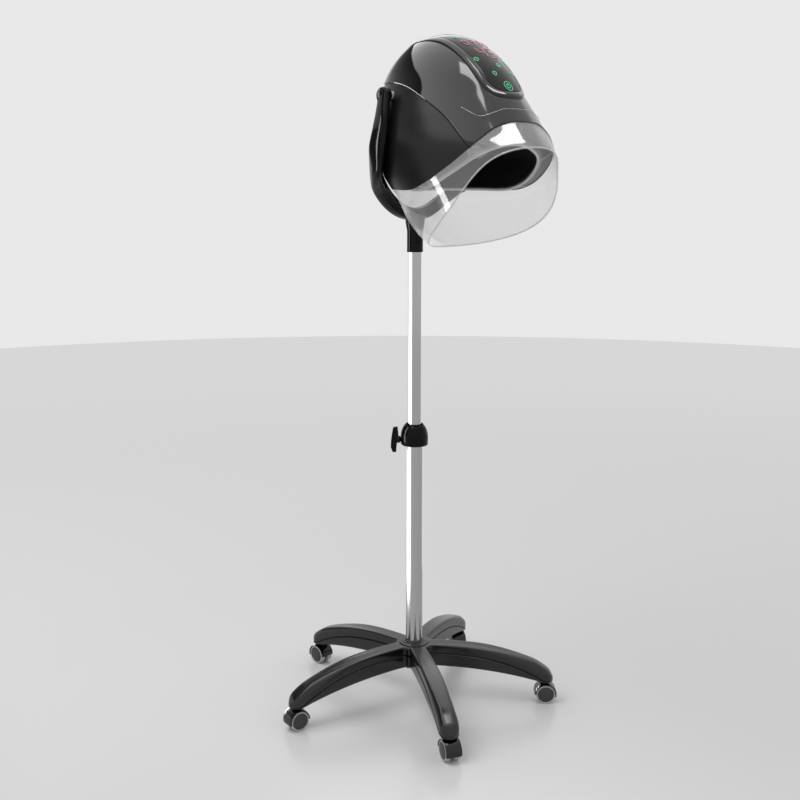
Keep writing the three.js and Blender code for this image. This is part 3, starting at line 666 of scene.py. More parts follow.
class PROCESSOR_OT_hood(bpy.types.Operator):
    """Builds the crown, rear shell, bowl and perforated air ring."""

    bl_idname = "processor.hood"
    bl_label = "Hood shells"

    AIR_COLUMNS = 156
    AIR_ROWS = 6
    HOLE_EDGE = 0.8 * MM
    # Ridges by share of the ring's width, and ribs by angle from the front
    RIDGES = (0.05, 0.14, 0.23)
    RIBS = (-136, -92, -48, 0, 48, 92, 136)

    def execute(self, context):
        sizes = context.scene.processor_hood
        self.crown(sizes)
        self.rear_shell(sizes)
        self.bowl(sizes)
        self.air_ring(sizes)
        return {"FINISHED"}

    def crown(self, sizes):
        """The crown runs from the top to the seam at the sides and to the edge line in front."""
        form = HoodForm(sizes.crown_proud)
        edge = SideLine(EDGE_LINE)
        seam = SideLine(SEAM_LINE, sizes.seam_gap / 2)

        def low(angle):
            return max(form.share_at(angle, edge), form.share_at(angle, seam))

        bm = hood_panel(form, low, lambda angle: 1.0, rows=48)
        made = piece("crown", bm, "hood", "crown", ["crown_shell"])
        soften(thicken(made, sizes.wall + sizes.crown_proud), 1.6 * MM, 4, 50)
        start = seam_start(form, edge, seam)
        points = form.line_points(seam, start, TURN - start, 96)
        bead = shifted(tube(Track(points, 3), sizes.crown_bead, 220, 10), z=sizes.crown_bead * 0.8)
        piece("crown_edge", bead, "hood", "crown")

    def rear_shell(self, sizes):
        """The rear shell lies between the edge line and the seam, and ends where they meet."""
        form = HoodForm()
        edge = SideLine(EDGE_LINE)
        seam = SideLine(SEAM_LINE, -sizes.seam_gap / 2)
        far = seam_start(form, edge, seam)
        bm = hood_panel(form, form.crossing(edge), form.crossing(seam), far, TURN - far, 168, 24)
        made = piece("rear_cover", bm, "hood", "shell", ["rear_shell"])
        soften(thicken(made, sizes.wall), 0.6 * MM, 2, 50)

    def bowl(self, sizes):
        """The black bowl and its rounded lip."""
        form = HoodForm(-sizes.wall - sizes.bowl_clearance, sizes.bowl_squeeze)
        edge = SideLine(EDGE_LINE)
        bm = hood_panel(form, form.crossing(edge), lambda angle: 1.0, rows=40)
        made = piece("bowl", bm, "hood", "bowl", ["inner_bowl"])
        thicken(made, sizes.wall)
        inner = HoodForm(-1.5 * sizes.wall - sizes.bowl_clearance, sizes.bowl_squeeze)
        lip = tube(edge_track(inner, edge, lift=1 * MM), sizes.bowl_lip, 180, 12, closed=True)
        # The bowl's lip is pale partly as a painted highlight along the bowl's edge.
        piece("bowl_lip", lip, "hood", "lip")

    def air_ring(self, sizes):
        """A perforated ring between the bowl and the shell, where the warm air leaves."""
        outer = HoodForm(-sizes.wall)
        inner = HoodForm(-sizes.wall - sizes.bowl_clearance, sizes.bowl_squeeze)
        edge = SideLine(EDGE_LINE, 2 * MM)
        ends = {}

        def place(across, along):
            if across not in ends:
                angle = mix(-math.pi, math.pi, across)
                near = inner.point(angle, inner.share_at(angle, edge))
                ends[across] = (near, outer.point(angle, outer.share_at(angle, edge)))
            spot = ends[across][0].lerp(ends[across][1], along)
            spot.z = HEAD_Z + edge.height(spot.y - MAST.y)
            return spot

        bm = closed_up(mapped(self.AIR_COLUMNS, self.AIR_ROWS, place))
        old_edges = [e for e in bm.edges if not e.is_boundary]
        bmesh.ops.poke(bm, faces=bm.faces)
        bmesh.ops.dissolve_edges(bm, edges=old_edges, use_verts=False)
        holes = [f for f in bm.faces if len(f.verts) == 4]
        bmesh.ops.inset_individual(bm, faces=holes, thickness=self.HOLE_EDGE, use_even_offset=True)
        bmesh.ops.delete(bm, geom=holes, context="FACES")
        made = piece("air_grille", bm, "hood", "vent", ["air_ring"])
        thicken(made, 1.6 * MM, 0)
        ridges = []
        for share in self.RIDGES:
            points = [place(i / 120, share) - Vector((0, 0, 0.8 * MM)) for i in range(121)]
            ridges.append(tube(Track(points, 2), 0.7 * MM, 180, 8, closed=True))
        for angle in self.RIBS:
            across = 0.5 + angle / 360
            points = [place(across, share) - Vector((0, 0, 1 * MM)) for share in (0.02, 0.35, 0.7, 0.98)]
            ridges.append(tube(Track(points, 6), 1.3 * MM, 24, 10))
        # The ridges and ribs are pale partly as a painted highlight along them.
        piece("grille_ribs", joined(*ridges), "hood", "lip")


class PROCESSOR_OT_visor(bpy.types.Operator):
    """Builds the clear visor with its rim bead and its lip over the crown."""

    bl_idname = "processor.visor"
    bl_label = "Visor"

    LIP_TURN = math.radians(46)

    def execute(self, context):
        sizes = context.scene.processor_hood
        form = HoodForm()
        edge = SideLine(EDGE_LINE, -0.5 * MM)
        rim = SideLine(RIM_LINE)
        bm = hood_panel(form, form.crossing(rim), form.crossing(edge), columns=200, rows=36)
        made = piece("clear_visor", bm, "hood", "clear", ["visor"])
        soften(thicken(made, sizes.wall), 0.8 * MM, 3, 50)
        self.rim_bead(sizes, rim)
        self.lip(sizes)
        return {"FINISHED"}

    def rim_bead(self, sizes, rim):
        """A rounded bead along the visor's free edge."""
        middle = HoodForm(-sizes.wall / 2)
        bead = tube(edge_track(middle, rim), sizes.wall * 0.6, 240, 10, closed=True)
        # Its hazy rim finish reads pale, partly a painted highlight along the visor's free edge.
        piece("visor_rim", bead, "hood", "rim")

    def lip(self, sizes):
        """The thin raised edge of the visor's flange, which lies on the crown's front."""
        form = HoodForm(sizes.crown_proud)
        line = SideLine(LIP_LINE)
        points = form.line_points(line, -self.LIP_TURN, self.LIP_TURN, 32)
        bead = tube(Track(points, 4), 0.8 * MM, 128, 8)
        # Its hazy rim finish reads pale, partly a painted highlight along the lip.
        piece("visor_lip", bead, "hood", "rim")


# Control tongue on the hood's front slope


class Slope:
    """The slope in front of the crown: places are given across it and along it."""

    ANGLE = math.radians(46)
    FOOT = Vector((MAST.x, MAST.y - 0.682 * HOOD_LENGTH, HEAD_Z + 0.681 * HOOD_HEIGHT - HOOD_DROP))
    UP = Vector((0, math.cos(ANGLE), math.sin(ANGLE)))
    OUT = Vector((0, -math.sin(ANGLE), math.cos(ANGLE)))

    def __init__(self):
        self.forms = {}

    def drape(self, across, along, lift):
        """The place on the hood's form, grown by a lift, that lies over a place on the slope."""
        key = round(lift, 5)
        if key not in self.forms:
            self.forms[key] = HoodForm(key)
        form = self.forms[key]
        foot = self.FOOT + Vector((across, 0, 0)) + self.UP * along
        low, high = -140 * MM, 140 * MM
        for _ in range(24):
            middle = (low + high) / 2
            if form.outside(foot + self.OUT * middle):
                high = middle
            else:
                low = middle
        return foot + self.OUT * high


def bezier(a, b, c, d, t):
    """A point on a cubic curve in the plane."""
    s = 1 - t
    weights = (s**3, 3 * s * s * t, 3 * s * t * t, t**3)
    return tuple(sum(w * p[k] for w, p in zip(weights, (a, b, c, d))) for k in (0, 1))


def tongue_outline(sizes, inset, share):
    """A place on the tongue's outline, drawn in by an inset, at a share of its way round."""
    half = max(sizes.tongue_width / 2 - inset, 0)
    length = sizes.tongue_length - inset
    top = length - half * 0.4
    turn = half + inset
    parts = (
        ((-half, top), (-half, mix(top, turn, 0.33)), (-half, mix(top, turn, 0.67)), (-half, turn)),
        ((-half, turn), (-half, inset + half * 0.2), (-half * 0.7, inset), (0, inset)),
        ((0, inset), (half * 0.7, inset), (half, inset + half * 0.2), (half, turn)),
        ((half, turn), (half, mix(turn, top, 0.33)), (half, mix(turn, top, 0.67)), (half, top)),
        ((half, top), (half, length), (-half, length), (-half, top)),
    )
    shares = (0.0, 0.27, 0.4, 0.53, 0.8, 1.0)
    i = min(max(bisect.bisect_right(shares, share), 1), 5) - 1
    return bezier(*parts[i], (share - shares[i]) / (shares[i + 1] - shares[i]))


class PROCESSOR_OT_controls(bpy.types.Operator):
    """Builds the raised tongue with its glass panel, display digits and lit keys."""

    bl_idname = "processor.controls"
    bl_label = "Control panel"

    KEYS = ((-22, 57), (3, 78), (41, 65), (42, 98), (-42, 98), (-30, 178))
    POWER = (-3, 26)
    SEGMENTS = {
        0: "abcdef",
        1: "bc",
        2: "abged",
        3: "abgcd",
        4: "fgbc",
        5: "afgcd",
        6: "afgedc",
        7: "abc",
        8: "abcdefg",
        9: "abcdfg",
    }

    def execute(self, context):
        self.sizes = context.scene.processor_hood
        self.slope = Slope()
        self.bezel()
        self.panel()
        self.digits()
        self.keys()
        return {"FINISHED"}

    def loops(self, steps, count):
        """A band round the tongue through steps of inset and rise."""
        spots = len(steps) - 1

        def place(across, along):
            inset, share = steps[round(along * spots)]
            x, y = tongue_outline(self.sizes, inset, across)
            return self.slope.drape(x, y, self.rise(y) * share)

        return closed_up(mapped(count, spots, place))

    def rise(self, along):
        """How far the tongue stands off the hood's form: it sinks into the crown at its upper end."""
        length = self.sizes.tongue_length
        return mix(self.sizes.tongue_rise, 1.9 * MM, ease(length * 0.62, length, along))

    def bezel(self):
        """The tongue's rounded border."""
        steps = [
            (0.0, 0.15), (0.4 * MM, 0.45), (1.6 * MM, 0.8), (3.6 * MM, 1.0), (7.5 * MM, 1.06),
            (12 * MM, 1.0), (13.4 * MM, 0.86), (13.8 * MM, 0.5),
        ]
        bm = self.loops(steps, 150)
        made = piece("tongue_border", bm, "hood", "crown", ["control_bezel"])
        subdivide(made, 1)

    def panel(self):
        """The glass panel that fills the tongue."""
        steps = [
            (13.2 * MM, 0.6), (13.6 * MM, 0.84), (14.6 * MM, 0.9), (26 * MM, 0.95),
            (38 * MM, 1.0), (52 * MM, 1.0),
            (self.sizes.tongue_width / 2, 1.0),
        ]
        made = piece(
            "panel_glass",
            self.loops(steps, 150),
            "hood",
            "glass",
            ["touch_panel", "display_window"],
        )
        subdivide(made, 1)

    def bar(self, start, end, width):
        """A flat bar on the panel between two places on the slope."""
        way = Vector((end[0] - start[0], end[1] - start[1]))
        side = Vector((-way.y, way.x)).normalized() * width / 2

        def place(across, along):
            taper = 1 - 0.75 * max(abs(along - 0.5) - 0.4, 0) / 0.1
            spot = Vector(start) + way * along + side * (across * 2 - 1) * taper
            return self.slope.drape(spot.x, spot.y, self.sizes.tongue_rise * 1.03)

        return mapped(1, 10, place)

    def ring(self, middle, radius, width):
        """A flat ring on the panel."""

        def place(across, along):
            turn = across * TURN
            reach = radius + (along - 0.5) * width
            x = middle[0] + math.cos(turn) * reach
            y = middle[1] + math.sin(turn) * reach
            return self.slope.drape(x, y, self.sizes.tongue_rise * 1.03)

        return mapped(32, 1, place)

    def digit(self, number, x, y, width, height):
        """The lit bars of a seven-bar digit."""
        left, right = x - width / 2, x + width / 2
        low, high = y - height / 2, y + height / 2
        gap = 1.1 * MM
        ends = {
            "a": ((left + gap, high), (right - gap, high)),
            "b": ((right, high - gap), (right, y + gap)),
            "c": ((right, y - gap), (right, low + gap)),
            "d": ((left + gap, low), (right - gap, low)),
            "e": ((left, y - gap), (left, low + gap)),
            "f": ((left, high - gap), (left, y + gap)),
            "g": ((left + gap, y), (right - gap, y)),
        }
        return [self.bar(*ends[key], 1.2 * MM + width * 0.07) for key in self.SEGMENTS[number]]

    def digits(self):
        """Two large digits for the minutes and a row of small ones above."""
        tens, ones = divmod(self.sizes.minutes % 100, 10)
        bars = []
        for number, x in ((tens, -15), (ones, 15)):
            bars += self.digit(number, x * MM, 116 * MM, 17 * MM, 30 * MM)
        for number, x in ((0, -30), (3, -10), (6, 10), (0, 30)):
            bars += self.digit(number, x * MM, 152 * MM, 9 * MM, 16 * MM)
        bm = closed_up(joined(*bars))
        thicken(piece("display_digits", bm, "hood", "digits"), 0.4 * MM, 1)

    def keys(self):
        """Ring-shaped touch keys and the larger power key."""
        rings = []
        for x, y in self.KEYS:
            rings.append(self.ring((x * MM, y * MM), 4.6 * MM, 1.6 * MM))
            rings.append(self.bar(((x - 2.2) * MM, y * MM), ((x + 2.2) * MM, y * MM), 1.4 * MM))
        x, y = self.POWER
        rings.append(self.ring((x * MM, y * MM), 10.6 * MM, 1.5 * MM))
        rings.append(self.ring((x * MM, y * MM), 5.0 * MM, 1.6 * MM))
        rings.append(self.bar((x * MM, y * MM), (x * MM, (y + 6) * MM), 1.6 * MM))
        bm = closed_up(joined(*rings))
        thicken(piece("touch_keys", bm, "hood", "keys"), 0.4 * MM, 1)


class PROCESSOR_OT_yoke(bpy.types.Operator):
    """Builds the forked yoke, its sleeve and the pivots."""

    bl_idname = "processor.yoke"
    bl_label = "Yoke"

    FORWARD = 64 * MM
    HEIGHT = 272 * MM
    THICKNESS = 20 * MM
    EYE = 17 * MM
    ARM_WIDTH = 52 * MM
    WEB_HEIGHT = 28 * MM
    WEB_THICKNESS = 33 * MM
    CAP_SINK = 4 * MM
    ROUTE_STEPS = 72
    SMOOTHINGS = 14
    SECTIONS = 216
    SECTION_POINTS = 56
    SQUARENESS = 0.7
    VOXEL = 1.4 * MM
    SMOOTH_PASSES = 12
    WIDEST = HOOD_WIDTH / 2 + THICKNESS / 2 - 1 * MM
    HALF_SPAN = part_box("pivot_bolt_left")[1].x - MAST.x - 6 * MM + CAP_SINK - THICKNESS / 2
    # An arm from its eye down: share of the half span, millimetres forward, share of the height
    ROUTE = (
        (0.93, 11, 0.81), (1, 12, 0.61), (0.89, -14.5, 0.475), (0.7, -44.2, 0.36),
        (0.455, -64, 0.25), (0.285, -66, 0.165),
    )

    def execute(self, context):
        self.arms()
        for side, name in ((-1, "right"), (1, "left")):
            self.pivot(side, name)
        return {"FINISHED"}

    def stations(self):
        """Sections along the fork from the right eye over the web to the left one."""
        half = [(self.HALF_SPAN, -self.FORWARD, self.HEIGHT)]
        for wide, forward, height in self.ROUTE:
            half.append((self.WIDEST * wide, -self.FORWARD - forward * MM, self.HEIGHT * height))
        web = (0, -self.FORWARD + 66 * MM, self.HEIGHT * 0.12)
        right = [(-x, y, z) for x, y, z in half]
        track = Track([*right, web, *reversed(half)])
        centres = [track.at(i / self.ROUTE_STEPS) for i in range(self.ROUTE_STEPS + 1)]
        for _ in range(self.SMOOTHINGS):
            middle = [(a + 2 * b + c) / 4 for a, b, c in zip(centres, centres[1:], centres[2:])]
            centres = [centres[0], *middle, centres[-1]]
        track = Track(centres, 2)
        found = []
        for i in range(self.SECTIONS + 1):
            along = i / self.SECTIONS
            from_end = min(along, 1 - along) * 2
            centre = track.at(along)
            heading = track.heading(along)
            outward = Vector((centre.x, centre.y + self.FORWARD * 1.7, 0)).normalized()
            wide = heading.cross(outward).normalized()
            thick = wide.cross(heading)
            arm = mix(self.EYE, self.ARM_WIDTH / 2, ease(0, 0.35, from_end))
            towards_web = ease(0.36, 0.64, from_end)
            half_width = mix(arm, self.WEB_HEIGHT / 2, towards_web)
            half_thickness = mix(self.THICKNESS, self.WEB_THICKNESS, towards_web) / 2
            found.append((centre, wide * half_width, thick * half_thickness))
        return found

    def arms(self):
        """Both arms and the sleeve, blended into one moulding."""
        parts = [sweep(self.stations(), self.SECTION_POINTS, self.SQUARENESS)]
        for side in (-1, 1):
            face = self.THICKNESS / 2
            rim = self.EYE - 4 * MM
            half = [(0, -face), (rim, -face), (self.EYE, -face / 2)]
            eye = spun([*half, *((r, -z) for r, z in reversed(half))])
            turned = moved(eye, Matrix.Rotation(math.pi / 2, 4, "Y"))
            parts.append(shifted(turned, side * self.HALF_SPAN, -self.FORWARD, self.HEIGHT))
        sleeve = [
            (15.4, -46), (18.3, -46), (17.6, -42), (17.5, 0), (20.5, 16), (22.5, 33), (14, 42),
            (0, 44), (0, 2), (15.4, 2),
        ]
        parts.append(spun(in_mm(sleeve), closed=True, steps=64))
        bm = shifted(joined(*parts), MAST.x, MAST.y, HEAD_Z)
        made = piece("yoke_fork", bm, "yoke", "yoke", ["yoke"])
        blended = made.modifiers.new("Blend", "REMESH")
        blended.mode = "VOXEL"
        blended.voxel_size = self.VOXEL
        blended.use_smooth_shade = True
        smooth = made.modifiers.new("Smooth", "SMOOTH")
        smooth.factor = 0.5
        smooth.iterations = self.SMOOTH_PASSES

    def pivot(self, side, name):
        """A capped pivot bolt and its shank."""
        cap = [(0, 0), (9.4, 0), (9.4, 4.2), (8.6, 5.2), (6, 5.7), (0, 6)]
        bolt = spun(in_mm(cap), steps=48)
        shank = spun(in_mm(((0, -50), (5, -50), (5, 0.5), (0, 0.5))), steps=32)
        whole = moved(joined(bolt, shank), Matrix.Rotation(side * math.pi / 2, 4, "Y"))
        seat = self.HALF_SPAN + self.THICKNESS / 2 - self.CAP_SINK
        place = MAST + Vector((side * seat, -self.FORWARD, HEAD_Z + self.HEIGHT))
        shifted(whole, *place)
        piece(f"pivot_cap_{name}", whole, "yoke", "yoke", [f"pivot_bolt_{name}"])


class PROCESSOR_OT_mast(bpy.types.Operator):
    """Builds the tubes, clamp, wing knob and hub ring."""

    bl_idname = "processor.mast"
    bl_label = "Mast"

    PARTING = 1.4 * MM
    KNOB_HEADING = math.radians(135)
    WING_THICKNESS = 8 * MM

    def execute(self, context):
        self.pipe("lower_pipe", "lower_tube", "base", 19 * MM)
        self.pipe("upper_pipe", "upper_tube", "mast", 15 * MM)
        self.clamp()
        self.knob()
        self.hub_ring()
        return {"FINISHED"}

    def pipe(self, name, node, body, radius):
        """A round tube with rolled ends, as long as its solid."""
        low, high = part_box(node)
        inner = radius - 1.5 * MM
        profile = [(inner, low.z), (radius, low.z), (radius, high.z), (inner, high.z)]
        bm = shifted(spun(profile, closed=True, steps=128), MAST.x, MAST.y)
        made = piece(name, bm, body, "steel", [node])
        soften(made, 0.4 * MM, 2)

    def clamp(self):
        """The domed collar: a front and a rear shell, with a parting gap between them."""
        low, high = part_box("clamp_collar")
        tall = high.z - low.z
        shares = (
            (0.62, 0), (0.95, 0), (1, 0.05), (1, 0.4), (0.975, 0.56), (0.91, 0.72),
            (0.81, 0.86), (0.7, 0.95), (0.62, 1),
        )
        halves = []
        for outer, heading, lift in ((30.2, 70, 0), (31, 250, 1.2)):
            profile = [(r * outer * MM, low.z + lift * MM + h * (tall - 1.2 * MM)) for r, h in shares]
            half = spun(profile, closed=True, steps=64, angle=math.pi)
            shifted(half, y=self.PARTING / 2)
            halves.append(moved(half, Matrix.Rotation(math.radians(heading + 90), 4, "Z")))
        inside = ((20, 3), (28, 3), (28, 22), (20, 44))
        core = [(r * MM, low.z + h * MM) for r, h in inside]
        halves.append(spun(core, closed=True, steps=64))
        bm = shifted(joined(*halves), MAST.x, MAST.y)
        made = piece("clamp_dome", bm, "base", "yoke", ["clamp_collar"])
        soften(made, 0.9 * MM, 3, 35)

    def knob(self):
        """The wing knob and its screw."""
        low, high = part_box("clamp_knob")
        height = (low.z + high.z) / 2
        wing = (
            (40, -12), (41, -29), (49, -29.5), (53.5, -18), (53, -4), (51, 12), (48, 28),
            (38, 29.5), (36, 12), (37, 0),
        )
        bm = bmesh.new()
        verts = [bm.verts.new((x * MM, -self.WING_THICKNESS / 2, z * MM)) for x, z in wing]
        face = bm.faces.new(verts)
        grown = bmesh.ops.extrude_face_region(bm, geom=[face])
        tops = [g for g in grown["geom"] if isinstance(g, bmesh.types.BMVert)]
        bmesh.ops.translate(bm, verts=tops, vec=(0, self.WING_THICKNESS, 0))
        closed_up(bm)
        screw = [(0, 17.5), (4, 17.5), (4, 31.5), (8, 32), (8, 38), (6, 42), (0, 42)]
        stem = spun(in_mm(screw), steps=40)
        moved(stem, Matrix.Rotation(math.pi / 2, 4, "Y"))
        whole = moved(joined(bm, stem), Matrix.Rotation(self.KNOB_HEADING, 4, "Z"))
        shifted(whole, MAST.x, MAST.y, height)
        made = piece("wing_knob", whole, "knob", "yoke", ["clamp_knob"])
        soften(made, 1.6 * MM, 3, 30)

    def hub_ring(self):
        """The stepped trim ring round the tube's foot."""
        low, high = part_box("hub_ring")
        tall = high.z - low.z
        shares = [
            (19.4, 0), (35, 0), (35, 0.1), (34.2, 0.2), (27.4, 0.26), (26.8, 0.4), (22.6, 0.46),
            (21.6, 0.8), (19.4, 0.8),
        ]
        profile = [(r * MM, low.z + h * tall) for r, h in shares]
        bm = shifted(spun(profile, closed=True, steps=96), MAST.x, MAST.y)
        made = piece("foot_ring", bm, "base", "nylon", ["hub_ring"])
        soften(made, 0.8 * MM, 3, 25)


class PROCESSOR_OT_base(bpy.types.Operator):
    """Builds the star base from one leg turned five times."""

    bl_idname = "processor.base"
    bl_label = "Star base"

    HEADING = -121.6
    HUB_TOP = 137 * MM
    HUB_UNDERSIDE = 85 * MM
    TIP_TOP = 92 * MM
    TIP_UNDERSIDE = 52 * MM
    CASTOR_CIRCLE = 300 * MM
    TOE_LENGTH = 60 * MM
    TOE_ROUNDING = 30 * MM
    FILLET = 26 * MM
    HUB_STATIONS = (0, 3, 7, 12, 18, 26, 40, 62, 92, 126, 162, 198, 230, 256)
    TOE_STATIONS = (272, 274, 276, 288, 300, 308, 314, 318, 321, 322)
    STATIONS = HUB_STATIONS + TOE_STATIONS
    GROOVE = 274
    GROOVE_DEPTH = 0.01
    TOP_BEND = 2.8
    UNDER_BEND = 2.2
    # A cover's shoulder from its middle outwards, crisp at the hub and rounded at the toe
    CRISP = ((0, 1), (0.5, 1), (0.85, 0.995), (0.955, 0.97), (0.99, 0.93), (1, 0.87))
    ROUND = ((0, 1), (0.36, 0.985), (0.64, 0.94), (0.85, 0.83), (0.965, 0.68), (1, 0.5))

    def section(self, ledge, rounded):
        """Half of a leg's outline from the top's middle to the underside's middle."""
        cut = 1 - self.sizes.ledge
        corners = zip(self.CRISP, self.ROUND)
        shoulder = [(mix(a[0], b[0], rounded), mix(a[1], b[1], rounded)) for a, b in corners]
        return (
            *shoulder,
            (0.985, ledge + 0.1), (0.975, ledge + 0.05), (0.95, ledge + 0.03),
            (cut, ledge + 0.02), (cut, ledge * 0.98), (0.98, ledge * 0.95), (1, ledge * 0.9),
            (1, ledge * 0.8), (0.975, ledge * 0.4), (0.94, ledge * 0.08), (0.86, 0), (0.36, 0),
            (0, 0),
        )

    def execute(self, context):
        self.sizes = context.scene.processor_stand
        reach = self.sizes.leg_reach
        rows = len(self.STATIONS) - 1
        half_count = len(self.section(0.5, 0)) - 1
        lean = math.tan(math.pi / CASTOR_COUNT)

        def place(across, along):
            station = self.STATIONS[round(along * rows)]
            run = station * MM
            spread = min(run / self.CASTOR_CIRCLE, 1)
            to_tip = max(run - reach + self.TOE_LENGTH, 0) / self.TOE_LENGTH
            slope = math.sqrt(max(1 - to_tip**3.2, 0.08))
            to_end = max(run - reach + self.TOE_ROUNDING, 0) / self.TOE_ROUNDING
            nose = math.sqrt(max(1 - to_end**2.6, 0.03))
            groove = 1 - self.GROOVE_DEPTH if station == self.GROOVE else 1
            flare = self.sizes.hub_flare * max(1 - run / self.FILLET, 0) ** 3
            half_width = mix(self.sizes.root_width, self.sizes.tip_width, spread) / 2 * nose + flare
            top = mix(self.HUB_TOP, self.TIP_TOP, spread**self.TOP_BEND)
            under = mix(self.HUB_UNDERSIDE, self.TIP_UNDERSIDE, spread**self.UNDER_BEND)
            spot = round(across * half_count * 2)
            side = 1 if spot <= half_count else -1
            ledge = mix(0.6, 0.1, spread**4)
            outline = self.section(ledge, ease(0.45, 1, spread))
            wide, high = outline[min(spot, half_count * 2 - spot)]
            y = side * wide * half_width * groove
            z = under + (top - under) * slope * ((high - 0.5) * groove + 0.5)
            start = abs(y) / lean
            return Vector((start + (reach - start) * run / reach, y, z))

        leg = merged(mapped(half_count * 2, rows, place))
        tip = [e for e in leg.edges if e.is_boundary and all(v.co.x > reach - MM for v in e.verts)]
        bmesh.ops.holes_fill(leg, edges=tip)
        legs = []
        for i in range(CASTOR_COUNT):
            turn = math.radians(self.HEADING) + TURN / CASTOR_COUNT * i
            legs.append(moved(leg.copy(), Matrix.Rotation(turn, 4, "Z")))
        leg.free()
        star = closed_up(joined(*legs), 0.05 * MM)
        shifted(star, MAST.x, MAST.y)
        made = piece("star_legs", star, "base", "nylon", ["star_base"])
        subdivide(made, 2)
        return {"FINISHED"}


class PROCESSOR_OT_castors(bpy.types.Operator):
    """Builds the five twin-wheel castors."""

    bl_idname = "processor.castors"
    bl_label = "Castors"

    WHEEL_RADIUS = 22 * MM
    FENDER_RADIUS = 25.7 * MM
    HALF_WIDTH = 18.3 * MM
    DIP = 0.26

    def execute(self, context):
        edge = context.scene.processor_stand.wheel_edge
        for number in range(1, CASTOR_COUNT + 1):
            self.fender(number)
            for side, name in ((1, "left"), (-1, "right")):
                self.wheel(number, side, name, edge)
        return {"FINISHED"}

    def frame_of(self, number):
        """Where a castor's axle lies and which way it trails."""
        stem = node_middle(f"castor_{number}_stem")
        axle = node_middle(f"castor_{number}_axle")
        trail = axle - stem
        heading = math.atan2(trail.y, trail.x)
        return Matrix.Translation(axle) @ Matrix.Rotation(heading, 4, "Z"), Vector((trail.x, trail.y)).length

    def fender(self, number):
        """The hood over both wheels, its web and the neck round the stem."""
        matrix, trail = self.frame_of(number)

        def place(across, along):
            turn = mix(-self.DIP, math.pi, along)
            side = across * 2 - 1
            radius = self.FENDER_RADIUS - 1.6 * MM * abs(side) ** 5
            return Vector((math.cos(turn) * radius, side * self.HALF_WIDTH, math.sin(turn) * radius))

        hood = mapped(20, 40, place)
        bmesh.ops.recalc_face_normals(hood, faces=hood.faces)
        made = piece(
            f"castor_{number}_hood",
            moved(hood, matrix),
            f"castor_{number}",
            "fender",
            [f"castor_{number}_fender"],
        )
        soften(thicken(made, 2.2 * MM), 0.6 * MM, 2, 50)
        plate = ((0, -3.4), (23.6, -3.4), (23.6, 3.4), (0, 3.4))
        web = spun(in_mm(plate), steps=40, angle=math.pi)
        moved(web, Matrix.Rotation(math.pi / 2, 4, "X"))
        neck = [(0, 24), (8.6, 24), (9.5, 26.5), (9.5, 29.4), (0, 29.4)]
        collar = shifted(spun(in_mm(neck), steps=40), -trail)
        inner = piece(
            f"castor_{number}_neck",
            moved(joined(web, collar), matrix),
            f"castor_{number}",
            "nylon",
        )
        soften(inner, 0.6 * MM, 2, 40)

    def wheel(self, number, side, name, edge):
        """A grey tyre and its domed cap."""
        matrix, _ = self.frame_of(number)
        outwards = matrix @ Matrix.Rotation(-side * math.pi / 2, 4, "X")
        radius = self.WHEEL_RADIUS
        tyre = [
            (18.6 * MM, 3.8 * MM), (radius - edge, 3.8 * MM), (radius - 0.7 * MM, 4.6 * MM),
            (radius, 3.8 * MM + edge), (radius, 17.6 * MM - edge),
            (radius - 0.7 * MM, 16.7 * MM), (radius - edge, 17.6 * MM), (19.4 * MM, 17.6 * MM),
            (18.8 * MM, 17 * MM), (18.6 * MM, 16 * MM),
        ]
        body = f"castor_{number}_{name}"
        bm = moved(spun(tyre, closed=True, steps=72), outwards)
        node = f"castor_{number}_wheel_{name}"
        made = piece(f"{body}_tyre", bm, body, "tyre", [node])
        soften(made, 0.3 * MM, 2, 40)
        cap = [
            (3.4, 4), (18.4, 4), (18.4, 15.6), (17.4, 16.6), (15.8, 16.6), (15.2, 17.1),
            (8, 17.6), (0, 17.7), (0, 14.4), (3.4, 14.4),
        ]
        bm = moved(spun(in_mm(cap), closed=True, steps=64), outwards)
        made = piece(f"{body}_cap", bm, body, "cap")
        soften(made, 0.3 * MM, 2, 40)


class PROCESSOR_OT_solids(bpy.types.Operator):
    """Gives the solids that stay visible their finishes."""

    bl_idname = "processor.solids"
    bl_label = "Inner parts"

    NODES_OF = {
        "zinc": ("base_bolt", "foot_plug", "clamp_pad", "fan_motor"),
        "white": ("tube_bush", "slide_plug", "tube_top_plug", "swivel_washer", "fan_wheel"),
        "heater": ("heater_band",),
        "board": ("control_board",),
        "nylon": ("cord_gland",),
    }

    def execute(self, context):
        for finish, nodes in self.NODES_OF.items():
            for node in nodes:
                self.dress(node, finish)
        for side in ("right", "left"):
            self.dress(f"visor_clip_{side}", "clear")
            self.dress(f"friction_washer_{side}", "white")
        for number in range(1, CASTOR_COUNT + 1):
            for name in ("stem", "axle"):
                self.dress(f"castor_{number}_{name}", "zinc")
        return {"FINISHED"}

    def dress(self, node, finish):
        """Swaps a node's material."""
        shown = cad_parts[node].data.materials
        shown.clear()
        shown.append(FINISHES[finish])


# Stage


